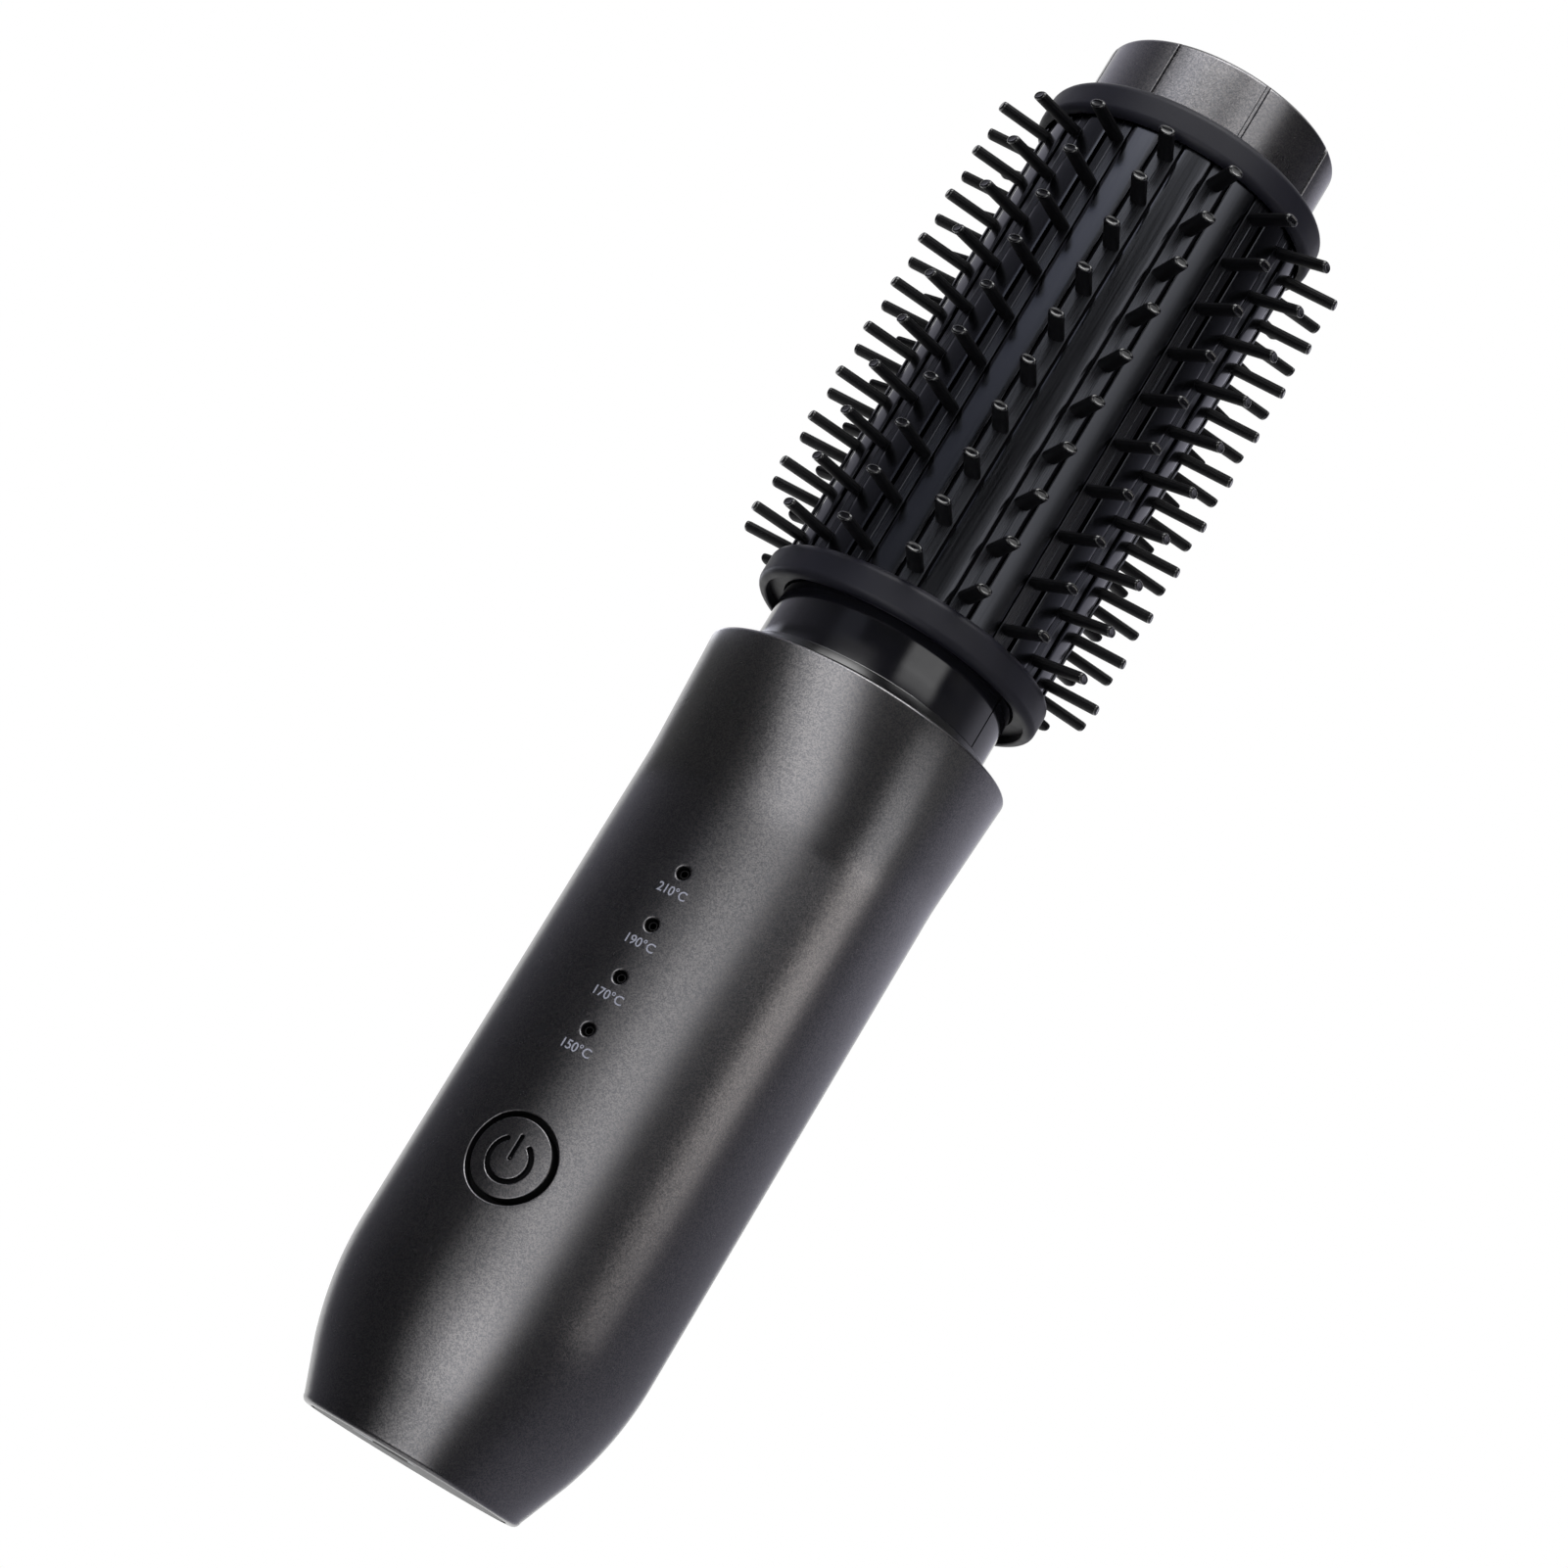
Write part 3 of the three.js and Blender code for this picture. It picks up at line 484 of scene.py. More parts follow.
# %% The sleeve as one closed mesh
def sleeve():
    heights = straight_rows()
    foot = base_radius - base_edge
    outside = [(foot, 0.0)] + arc(foot, base_edge, base_edge, -72, 0, 4)
    outside += grip_outline(0, 14, heights, 8)[:-1]
    outside += arc(rim_radius - rim_edge, rim_top - rim_edge, rim_edge, 0, 90, 5)
    inside = [(base_radius - WALL, 0.0)] + grip_outline(WALL, 6, heights, 4)
    points, faces, bare = [], [], []

    def wall(outline):
        """The rows of points of one skin."""
        rows = []
        for radius, height in outline:
            rows.append(range(len(points), len(points) + sleeve_columns))
            points.extend(on_axis(radius, column_angle * c, height) for c in range(sleeve_columns))
        return rows

    def ends_of(hole, outline):
        """The first and the last row of the square that is left out for an opening."""
        ends = hole.height - hole.half, hole.height + hole.half
        return [next(k for k, (_, z) in enumerate(outline) if abs(z - end) < 1e-6) for end in ends]

    def skin(outline, rows, outward):
        left_out = set()
        for hole in openings:
            columns = range(-hole.columns, hole.columns)
            left_out |= {(k, c) for k in range(*ends_of(hole, outline)) for c in columns}
        for k in range(len(outline) - 1):
            for c in range(-sleeve_columns // 2, sleeve_columns // 2):
                if (k, c) not in left_out:
                    cell = (rows[k][c], rows[k][c + 1], rows[k + 1][c + 1], rows[k + 1][c])
                    faces.append(cell if outward else cell[::-1])
                    bare.append(not outward)

    def border(hole, outline, rows):
        """The points round a left-out square, anticlockwise from outside, with their places on the grip."""
        first, last = ends_of(hole, outline)
        edge = hole.columns
        trip = [(first, c) for c in range(-edge, edge)] + [(k, edge) for k in range(first, last)]
        trip += [(last, c) for c in range(edge, -edge, -1)] + [(k, -edge) for k in range(last, first, -1)]
        return [(rows[k][c], grip_radius * column_angle * c, outline[k][1] - hole.height) for k, c in trip]

    def band(low, high, unpainted):
        """Faces between two closed rows of points."""
        for i in range(len(low)):
            j = (i + 1) % len(low)
            faces.append((low[i], low[j], high[j], high[i]))
            bare.append(unpainted)

    out_rows, in_rows = wall(outside), wall(inside)
    skin(outside, out_rows, True)
    skin(inside, in_rows, False)
    band(out_rows[-1], in_rows[-1], False)
    band(in_rows[0], out_rows[0], False)
    for hole in openings:
        outer, inner = border(hole, outside, out_rows), border(hole, inside, in_rows)
        turn = [atan2(v, u) for _, u, v in outer]

        def ring(reach, sink=0.0, mix=1.0):
            """A loop of points between the square (mix 0) and a circle (mix 1), pushed in by sink."""
            start = len(points)
            for angle, (_, u, v) in zip(turn, outer):
                circle_u = grip_radius * asin(reach * cos(angle) / grip_radius)
                bent = (u + (circle_u - u) * mix) / grip_radius
                x, y, z = on_axis(grip_radius, bent, hole.height + v + (reach * sin(angle) - v) * mix)
                points.append((x, y + sink, z))
            return range(start, len(points))

        chain = [[p for p, _, _ in outer]] + [ring(hole.radius + hole.edge, mix=m) for m in (0.4, 0.75, 1.0)]
        rounded = arc(hole.radius + hole.edge, hole.edge, hole.edge, -108, -180, 4)
        chain += [ring(reach, sink) for reach, sink in rounded]
        back = len(points)
        for angle in turn:
            x, z = hole.radius * cos(angle), hole.radius * sin(angle)
            points.append((x, -sqrt((grip_radius - WALL) ** 2 - x * x), hole.height + z))
        chain += [range(back, len(points)), [p for p, _, _ in inner]]
        # The bands through the wall take the bare plastic, whose near black also paints the shade inside the
        # openings.
        painted = len(chain) - 3
        for k, (low, high) in enumerate(zip(chain, chain[1:])):
            band(low, high, k >= painted)
    return even_shading(new_piece("painted_sleeve", points, faces, [sleeve_paint, bare_abs_and_shade], bare))


mount(sleeve(), "brush", "handle_paint", "handle_shell")

# %% [markdown]
# ## The power button
#
# The face of the button carries on the round of the grip and has a power symbol sunk into it. The face is a
# fine polar grid, and its points are pushed in by how far they lie inside the stroke of the symbol. That
# gives clean walls without a boolean. Behind the face come the skirt, the flange that keeps the button in,
# and the stem.

# %% Symbol on the button
symbol_radius = 2.95
symbol_drop = 0.3
symbol_gap = radians(36)
symbol_depth = 0.5
ring_half_stroke = 0.38
bar_half_stroke = 0.29
bar_foot, bar_head = -0.1, 3.1
soft_start, soft_reach, soft_depth = -0.1, 0.13, 0.07
wall_start, wall_reach = 0.03, 0.07


def inside_symbol(x, z):
    """How far a point lies inside the stroke of the symbol; negative outside."""
    from_bar = hypot(x, z - min(max(z, bar_foot), bar_head))
    z += symbol_drop
    angle = atan2(x, z)
    if abs(angle) >= symbol_gap:
        from_ring = abs(hypot(x, z) - symbol_radius)
    else:
        end = copysign(symbol_gap, angle)
        from_ring = hypot(x - symbol_radius * sin(end), z - symbol_radius * cos(end))
    return max(ring_half_stroke - from_ring, bar_half_stroke - from_bar)


def sunk_by(inside):
    """The depth of the symbol: a soft shoulder round the stroke, then a steep wall and a flat floor."""
    soft = clamp((inside - soft_start) / soft_reach)
    return soft_depth * soft * soft + (symbol_depth - soft_depth) * clamp((inside - wall_start) / wall_reach)


# %% The button as one closed mesh
def button():
    """The button from its middle outwards over the rounded edge, and back to the end of the stem."""
    sides, edge = 256, 0.15
    face_radius, flange_radius, stem_radius = button_radius + 0.4, button_radius + 1.55, 1.8
    flange_front = FIT - sqrt((grip_radius - WALL) ** 2 - flange_radius ** 2)
    flange_back = flange_front + 1
    stem_back = span("power_button", 1)[1]
    steps = [0.08 * i for i in range(1, 26)] + [2.05 + 0.05 * i for i in range(36)]
    steps += [3.95 + 0.15 * i for i in range(10)]
    front = [(radius, 0.0) for radius in steps] + arc(face_radius - edge, edge, edge, -90, 0, 3)
    behind = [
        (face_radius, flange_front), (flange_radius, flange_front), (flange_radius, flange_back),
        (stem_radius, flange_back), (stem_radius, stem_back),
    ]

    def face_depth(x, z):
        return sunk_by(inside_symbol(x, z)) - sqrt(grip_radius ** 2 - x * x)

    points = [(0, -grip_radius, button_height)]
    for radius, drop in front:
        points += [(x, face_depth(x, z) + drop, button_height + z) for x, z in circle(radius, sides)]
    for radius, depth in behind:
        points += [(x, depth, button_height + z) for x, z in circle(radius, sides)]
    faces = [(1 + i, 1 + (i + 1) % sides, 0) for i in range(sides)]
    choice = [0] * sides
    for row in range(len(front) + len(behind) - 1):
        low, high = 1 + row * sides, 1 + (row + 1) * sides
        for i in range(sides):
            j = (i + 1) % sides
            faces.append((low + i, high + i, high + j, low + j))
            x, z = (sum(points[p][axis] for p in faces[-1]) / 4 for axis in (0, 2))
            # Strokes of the symbol take the ink, and the skirt, flange and stem the bare plastic. Both are
            # near black, so they also paint the shade of the groove and of the gap round the button.
            sunk = inside_symbol(x, z - button_height) > wall_start
            choice.append(2 if row >= len(front) - 1 else 1 if sunk else 0)
    faces.append(tuple(range(len(points) - sides, len(points))))
    choice.append(2)
    finishes = [sleeve_paint, symbol_ink_and_shade, bare_abs_and_shade]
    return even_shading(new_piece("button_cap", points, faces, finishes, choice))


mount(button(), "button", "button_paint", "power_button")

# %% [markdown]
# ## Temperature figures
#
# The four figures are printed under the lights. Text is made a mesh first. Then each of its points is laid
# round the grip, so the print follows the curve and stands two hundredths of a millimetre proud.

# %% Printed figures
figure_wide, figure_tall, figure_drop = 4.4, 1.4, 3.5
ink_front, ink_back = 0.02, -0.05


def printed(name, words, height):
    """Words on the grip, under the opening at a height."""
    curve = bpy.data.curves.new(name, "FONT")
    curve.body = words
    curve.extrude = 0.01
    curve.offset = 0.011
    curve.align_x = "CENTER"
    text = placed(name, curve)
    mesh = plain_mesh(text)
    bpy.data.objects.remove(text)
    low = [min(v.co[a] for v in mesh.vertices) for a in (0, 1)]
    high = [max(v.co[a] for v in mesh.vertices) for a in (0, 1)]
    for vertex in mesh.vertices:
        x = ((vertex.co.x - low[0]) / (high[0] - low[0]) - 0.5) * figure_wide
        z = height - figure_drop + (vertex.co.y - low[1]) / (high[1] - low[1]) * figure_tall
        lift = ink_front if vertex.co.z > 0 else ink_back
        vertex.co = Vector(on_axis(grip_radius + lift, x / grip_radius, z)) * MM
    mesh.materials.append(label_ink)
    return mount(placed(name, mesh), "brush", "handle_paint")


for heat, height in zip((150, 170, 190, 210), led_heights):
    printed(f"figure_{heat}", f"{heat}°C", height)

# %% [markdown]
# ## Indicator lenses
#
# Behind each small hole ends a light pipe of smoked polycarbonate, a little under the surface. The pipes
# grow out of one bar. They repeat at an even pitch, so a small Geometry Nodes tree sets them out.
#
# The same tree serves the head of the brush: it sets copies of a mesh along the axis and round it.

# %% A tree that repeats a mesh along and round the axis
def repeater():
    tree = bpy.data.node_groups.new("repeat_along_and_round", "GeometryNodeTree")
    for name, kind in (
        ("Geometry", "Geometry"), ("Copies Round", "Int"), ("Copies Along", "Int"), ("First Height", "Float"),
        ("Pitch", "Float"), ("First Angle", "Float"), ("Material", "Material"),
    ):
        tree.interface.new_socket(name, in_out="INPUT", socket_type="NodeSocket" + kind)
    tree.interface.new_socket("Geometry", in_out="OUTPUT", socket_type="NodeSocketGeometry")
    given = node(tree, "NodeGroupInput").outputs

    def calculate(operation, *values):
        return node(tree, "ShaderNodeMath", dict(enumerate(values)), operation=operation)

    def along_z(value):
        return node(tree, "ShaderNodeCombineXYZ", {"Z": value})

    index = node(tree, "GeometryNodeInputIndex")
    row = calculate("FLOOR", calculate("DIVIDE", index, given["Copies Along"]))
    place = calculate("MODULO", index, given["Copies Along"])
    height = calculate("ADD", given["First Height"], calculate("MULTIPLY", place, given["Pitch"]))
    share = calculate("DIVIDE", row, given["Copies Round"])
    angle = calculate("ADD", given["First Angle"], calculate("MULTIPLY", share, 2 * pi))
    count = calculate("MULTIPLY", given["Copies Round"], given["Copies Along"])
    dots = node(tree, "GeometryNodePoints", {"Count": count, "Position": along_z(height)})
    given_points = {"Points": dots, "Instance": given["Geometry"], "Rotation": along_z(angle)}
    copies = node(tree, "GeometryNodeInstanceOnPoints", given_points)
    real = node(tree, "GeometryNodeRealizeInstances", {"Geometry": copies})
    dressed = node(tree, "GeometryNodeSetMaterial", {"Geometry": real, "Material": given["Material"]})
    node(tree, "NodeGroupOutput", {"Geometry": dressed})
    return tree


repeat_tree = repeater()


def repeated(piece, **values):
    """Run the tree on a piece and turn the result into a plain mesh. The piece keeps its own material."""
    values["material"] = piece.data.materials[0]
    modifier = piece.modifiers.new("repeat", "NODES")
    modifier.node_group = repeat_tree
    for item in repeat_tree.interface.items_tree:
        key = item.name.lower().replace(" ", "_")
        if item.in_out == "INPUT" and key in values:
            modifier[item.identifier] = values[key]
    settle(piece)
    piece.data.materials.clear()
    piece.data.materials.append(values["material"])
    return even_shading(piece)


# %% Light pipes
def light_pipe():
    """A round rod along Y with a rounded front end, at height zero."""
    radius, edge = led_radius - FIT, 0.2
    front, back = span("light_guide", 1)
    outline = [(radius, back)] + arc(radius - edge, front + edge, edge, 0, -90, 3)
    loops = [[(x, y, z) for x, z in circle(r, 24)] for r, y in outline]
    return new_piece("indicator_lenses", *tube([[(0, back, 0)], *loops, [(0, front, 0)]]), [smoked])


lenses = repeated(
    light_pipe(), copies_round=1, copies_along=len(led_heights), first_height=led_heights[0] * MM,
    pitch=led_pitch * MM, first_angle=0.0,
)
mount(lenses, "brush", "smoked_lens")

# %% [markdown]
# ## Collar, neck and rings
#
# The collar closes the rim of the sleeve; the foot of its wall is coloured near black as a painted shadow
# line.
# The neck is moulded as two half tubes, and their seam shows as a thin dark line on the right, partly painted
# shade on the near-black seam faces. The rings hold both ends of the barrel and hide the ends of its
# channels.

# %% Collar
collar_radius = 18.6
neck_radius = collar_radius - 0.7
neck_top_radius = barrel_radius - 2.5
barrel_bore = barrel_radius - 3.2
collar_outside = span("top_collar", 0)[1]
collar_skirt = grip_radius - WALL + rim_flare - 4 * flare_rise - FIT
step_top = rim_top + 1.12
flange_top = barrel_bottom - FIT
flange_bottom = flange_top - 1.1
collar = turned("rim_collar", [
    (neck_radius + FIT, collar_bottom), (collar_skirt, collar_bottom), (collar_outside, rim_top - 0.75),
    (collar_outside - 0.1, rim_top - 0.62), (collar_radius + 0.25, rim_top - 0.08),
    *arc(collar_radius + 0.1, rim_top + 0.2, 0.2, -120, -180, 3), (collar_radius - 0.1, step_top),
    *arc(collar_radius - 0.1, step_top + 0.1, 0.1, -90, 0, 3),
    *arc(collar_radius - 0.2, collar_top - 0.2, 0.2, 0, 90, 4), (neck_radius + FIT, collar_top),
], 240, collar_abs)
# The collar's wall below the step takes the near-black plastic: a painted shadow line along the sleeve's rim.
collar.data.materials.append(bare_abs_and_shade)
for face in collar.data.polygons:
    face.material_index = int(face.center.z < step_top * MM)
mount(collar, "brush", "collar_plastic", "top_collar")

# %% Neck halves
def neck_half(name, middle):
    """Half a tube, from seam to seam, about a middle angle in degrees from the front."""
    foot = grip_radius - WALL - 0.5
    foot_top = neck_bottom + 2
    foot_bore = neck_radius - 2.6
    spigot = barrel_bore - FIT
    bore = spigot - WALL
    outline = [
        (foot_bore, neck_bottom), (foot, neck_bottom), (foot, foot_top), (neck_radius, foot_top),
        (neck_radius, collar_top), (neck_top_radius, lower_ring_bottom), (neck_top_radius, flange_top),
        (spigot, flange_top), (spigot, neck_top), (bore, neck_top), (bore, lower_ring_bottom),
        (foot_bore, collar_top),
    ]
    steps = 128

    def at(radius, share):
        """The angle of a point from one seam to the other, with half a gap left free at each."""
        return radians(middle) + (pi / 2 - FIT / 2 / radius) * share

    loops = [[on_axis(r, at(r, 1 - 2 * i / steps), z) for r, z in outline] for i in range(steps + 1)]
    points, faces = tube(loops)
    # The two seam faces take the near-black plastic: painted shade in the seam.
    choice = [0] * (len(faces) - 2) + [1, 1]
    return even_shading(new_piece(name, points, faces, [neck_abs, bare_abs_and_shade], choice))


seam_angle = 81.5
mount(neck_half("neck_shell_front", seam_angle - 90), "brush", "neck_plastic", "neck_front_half")
mount(neck_half("neck_shell_rear", seam_angle + 90), "brush", "neck_plastic", "neck_rear_half")

# %% Rings
ring_edge = 1.2
lip = 0.15
lower_ring = turned("end_ring_lower", [
    (barrel_radius + lip, lower_ring_bottom), (ring_radius - ring_edge, lower_ring_bottom),
    *arc(ring_radius - ring_edge, lower_ring_bottom + ring_edge, ring_edge, -75, 0, 6),
    *arc(ring_radius - ring_edge, lower_ring_top - ring_edge, ring_edge, 0, 90, 7),
    (barrel_radius + FIT, lower_ring_top), (barrel_radius + FIT, flange_top),
    (neck_top_radius + FIT, flange_top), (neck_top_radius + FIT, flange_bottom),
    (barrel_radius, flange_bottom), (barrel_radius, lower_ring_bottom + lip),
], 240, ring_pbt)
mount(lower_ring, "brush", "ring_plastic", "lower_ring")
upper_ring = turned("end_ring_upper", [
    *arc(ring_radius - ring_edge, upper_ring_bottom + ring_edge, ring_edge, -90, 0, 7),
    *arc(ring_radius - ring_edge, upper_ring_top - ring_edge, ring_edge, 0, 90, 7),
    (tip_radius + FIT + lip, upper_ring_top), (tip_radius + FIT, upper_ring_top - lip),
    (tip_radius + FIT, barrel_top + FIT), (barrel_radius + FIT, barrel_top + FIT),
    (barrel_radius + FIT, upper_ring_bottom),
], 240, ring_pbt)
mount(upper_ring, "brush", "ring_plastic", "upper_ring")

# %% [markdown]
# ## The barrel
#
# The barrel is an extruded tube with a channel for every comb strip. Its cross-section is worked out for
# one pitch and repeated sixteen times. The rims of the channels have a small radius, which catches the
# light. The walls and floors of the channels are coloured near black, as painted shade.

# %% Barrel
row_count = 16
row_pitch = 2 * pi / row_count
row_phase = radians(13.25)
strip_width = 3.1
channel_half = strip_width / 2 + FIT
channel_floor = barrel_radius - 1.1


def barrel():
    """The tube through the outer cross-section and the round bore, with channels coloured near black as
    painted shade.
    """
    edge = 0.36
    wall_top = sqrt(barrel_radius ** 2 - channel_half ** 2)
    half = asin(channel_half / barrel_radius) + edge / barrel_radius
    rim = [(channel_floor, channel_half), (wall_top - edge, channel_half)]
    rim.append((wall_top - edge / 3, channel_half + 0.08))
    section = []
    for row in range(row_count):
        middle = row_phase + row * row_pitch
        outward = (sin(middle), -cos(middle))
        beside = (cos(middle), sin(middle))
        for reach, aside in [(r, -a) for r, a in reversed(rim)] + rim:
            section.append(tuple(reach * o + aside * b for o, b in zip(outward, beside)))
        start, end = middle + half, middle + row_pitch - half
        section += [on_axis(barrel_radius, start + (end - start) * i / 10, 0)[:2] for i in range(11)]
    bore = [tuple(c * barrel_bore / hypot(*p) for c in p) for p in section]
    ends = [(section, barrel_bottom), (section, barrel_top), (bore, barrel_top), (bore, barrel_bottom)]
    points, faces = tube([[(x, y, z) for x, y in loop] for loop, z in ends], joined=True)
    per_row = len(section) // row_count
    # Faces 1 to 3 of each row are a channel's walls and floor, which take the near-black painted shade.
    choice = [int(i < len(section) and i % per_row in (1, 2, 3)) for i in range(len(faces))]
    return even_shading(new_piece("barrel_tube", points, faces, [land_metal, channel_shade_metal], choice))


mount(barrel(), "brush", "barrel_metal", "heating_barrel")

# %% [markdown]
# ## Comb strips and teeth
#
# Each channel holds a flat bar that lies a little under the barrel's surface and has a fine groove along
# its middle. Each bar carries ten matt teeth with an oval section, and every tooth has a polished, rounded
# tip. One tooth, one tip and one bar are modelled on +X, and the tree repeats them: 160 teeth and 16 bars.

# %% Teeth and their tips
teeth_along = 10
tooth_pitch = 7.633
first_tooth = lower_ring_top + 2.5
tooth_half_wide, tooth_half_tall, squareness = 1.24, 0.7, 0.85
bar_top = barrel_radius - 0.45
tip = barrel_radius + 7.6
turn_to_row = row_phase - pi / 2
strips = [f"comb_strip_{i + 1:02d}" for i in range(row_count)]


def squarer(share):
    """A sine or cosine that makes a circle a little squarer."""
    return copysign(abs(share) ** squareness, share)


def peg(name, rows, sides, material):
    """A closed peg along +X through rows of reach and size, with an oval section, wider across the bar."""
    oval = [(squarer(y) * tooth_half_wide, squarer(z) * tooth_half_tall) for y, z in circle(1, sides)]
    loops = [[(reach, y * size, z * size) for y, z in oval] for reach, size in rows]
    return new_piece(name, *tube(loops), [material])


tooth = peg("comb_teeth", [(bar_top - 0.1, 1.0), (tip - 0.5, 0.97), (tip - 0.3, 0.86)], 12, nylon)
tooth_tip = peg("tooth_tips", [
    (tip - 0.42, 0.95), (tip - 0.28, 0.955), (tip - 0.14, 0.9), (tip - 0.05, 0.81), (tip, 0.69),
    (tip - 0.04, 0.58), (tip - 0.05, 0.3),
], 16, tip_nylon)
for part in (tooth, tooth_tip):
    rows_of = repeated(
        part, copies_round=row_count, copies_along=teeth_along, first_height=first_tooth * MM,
        pitch=tooth_pitch * MM, first_angle=turn_to_row,
    )
    mount(rows_of, "brush", "tooth_plastic", *strips)

# %% Bars
def bar():
    """One bar on +X, whose section goes over a rounded edge to the lip and the floor of the groove."""
    edge = 0.12
    half = strip_width / 2 - 0.12
    side = [
        (channel_floor + FIT, half), (bar_top - edge, half), (bar_top - edge * 0.3, half - edge * 0.3),
        (bar_top, half - edge), (bar_top + 0.06, 0.16), (bar_top - 0.02, 0.08),
    ]
    section = [(x, -y) for x, y in side] + side[::-1]
    return new_piece("comb_bars", *extruded(section, barrel_bottom + FIT, barrel_top - FIT), [bar_metal])


bars = repeated(
    bar(), copies_round=row_count, copies_along=1, first_height=0.0, pitch=0.0, first_angle=turn_to_row,
)
mount(bars, "brush", "tooth_plastic", *strips)

# %% [markdown]
# ## The tip cap
#
# The cap is painted like the sleeve. Eight narrow grooves run up its side, in line with every second row.
# Each ring of points is drawn in where it crosses a groove, with more points there than elsewhere.

# %% Cap
def cap():
    """The cap as a turned form, with columns of points that gather at the grooves."""
    groove_depth, groove_half, slope, edge, thickness = 0.45, 0.3, 0.12, 0.7, 1.4
    near = [-0.55, -0.42, -0.34, -0.27, -0.2, 0.0, 0.2, 0.27, 0.34, 0.42, 0.55]
    pitch = 2 * row_pitch
    angles, push = [], []
    for k in range(row_count // 2):
        middle = row_phase - pitch / 2 + k * pitch
        start, end = middle + near[-1] / tip_radius, middle + pitch + near[0] / tip_radius
        angles += [middle + d / tip_radius for d in near]
        angles += [start + (end - start) * i / 20 for i in range(1, 20)]
        push += [clamp((groove_half + slope / 2 - abs(d)) / slope) for d in near] + [0.0] * 19
    bottom, inside = barrel_top + FIT, tip_radius - thickness
    outline = [(tip_radius, bottom + (tip_top - edge - bottom) * i / 4) for i in range(4)]
    outline += arc(tip_radius - edge, tip_top - edge, edge, 0, 90, 6)
    outline += [(radius, tip_top) for radius in (inside, tip_radius - 3, tip_radius * 0.5, 0.0)]
    outline += [(0.0, tip_top - thickness), (inside, tip_top - thickness), (inside, bottom)]

    def drawn_in(radius, column):
        return min(radius, tip_radius - groove_depth * push[column])

    return turned("cap_shell", outline, angles, cap_paint, drawn_in)


mount(cap(), "brush", "tip_paint", "tip_cap")

# %% [markdown]
# ## The base
#
# The base is a flat cap with the charging socket near its front edge. The socket is a steel shell with
# rounded ends, and a tongue with small gold contacts stands in it.

# %% Slots with half-round ends
socket_y = sum(span("usb_c_socket", 1)) / 2


def slotted(name, rows, material, joined=False):
    """A tube through slots with half-round ends, each with its length, its width and its height."""
    loops = []
    for long, wide, height in rows:
        reach = (long - wide) / 2
        rim = arc(reach, socket_y, wide / 2, -90, 90, 12) + arc(-reach, socket_y, wide / 2, 90, 270, 12)
        loops.append([(x, y, height) for x, y in rim])
    return even_shading(new_piece(name, *tube(loops, joined), [material]))


# %% Base cap
def base_plate():
    """A dish with two posts and a slot for the socket, whose bevel is bright."""
    radius = base_radius - WALL - FIT
    post_top = span("base_cap", 2)[1]
    skirt_top = WALL + 3.2
    dish = turned("base_plate", [
        (0.0, 0.0), (radius - 0.3, 0.0), *arc(radius - 0.3, 0.3, 0.3, -60, 0, 3),
        (radius, skirt_top), (radius - WALL, skirt_top), (radius - WALL, WALL), (0.0, WALL),
    ], 160, base_abs)
    long, wide, bevel = 9.54, 3.76, 0.24
    hole = slotted("slot_cutter", [
        (long + 0.5, wide + 0.5, -1), (long + 0.5, wide + 0.5, -0.001), (long, wide, bevel),
        (long, wide, WALL + 1),
    ], base_abs)
    cut = dish.modifiers.new("slot", "BOOLEAN")
    cut.object = hole
    cut.operation = "DIFFERENCE"
    settle(dish)
    bpy.data.objects.remove(hole)
    post_radius, post_side, post_back = 2, 9, 6
    rims = [[(x + s, y + post_back) for x, y in circle(post_radius, 24)] for s in (-post_side, post_side)]
    points, faces = together(extruded(rim, WALL, post_top) for rim in rims)
    posts = bpy.data.meshes.new("posts")
    posts.from_pydata([[c * MM for c in p] for p in points], [], faces)
    whole = bmesh.new()
    for mesh in (dish.data, posts):
        whole.from_mesh(mesh)
    whole.to_mesh(dish.data)
    whole.free()
    dish.data.materials.append(nickel)
    for face in dish.data.polygons:
        x, y, z = (c / MM for c in face.center)
        if abs(x) < 5.2 and abs(y - socket_y) < 2.3 and 0.02 < z < bevel - 0.02:
            face.material_index = 1
    dish.data.set_sharp_from_angle(angle=radians(32))
    return dish


mount(base_plate(), "brush", "base_plastic", "base_cap")

# %% Charging socket
socket_bottom, socket_top = span("usb_c_socket", 2)
insert_bottom, insert_top = span("usb_c_insert", 2)
flange = insert_top - 1.6
socket = slotted("socket_shell", [
    (8.84, 3.06, socket_bottom), (8.94, 3.16, socket_bottom + 0.05), (8.94, 3.16, socket_top),
    (6.0, 0.6, socket_top), (6.0, 0.6, socket_top - 0.3), (8.34, 2.56, socket_top - 0.3),
    (8.34, 2.56, socket_bottom + 0.05), (8.44, 2.66, socket_bottom),
], nickel, joined=True)
mount(socket, "brush", "steel", "usb_c_socket")
tongue = slotted("socket_tongue", [
    (5.8, 0.5, insert_bottom), (6.2, 0.7, insert_bottom + 0.25), (6.2, 0.7, flange), (7.74, 1.96, flange),
    (7.74, 1.96, insert_top),
], chassis_abs)
mount(tongue, "brush", "chassis_plastic", "usb_c_insert")


# Twelve thin upright contacts lie on each side of the tongue.
contact_pitch, contact_half, contact_out, contact_thin = 0.5, 0.13, 0.36, 0.02
contacts = []
for middle_y in (socket_y - contact_out, socket_y + contact_out):
    for i in range(12):
        middle_x = contact_pitch * (i - 5.5)
        rim = [(middle_x + u * contact_half, middle_y + v * contact_thin) for u, v in square]
        contacts.append(extruded(rim, insert_bottom + 0.5, insert_bottom + 3.2))
mount(new_piece("socket_contacts", *together(contacts), [gold]), "brush", "steel")

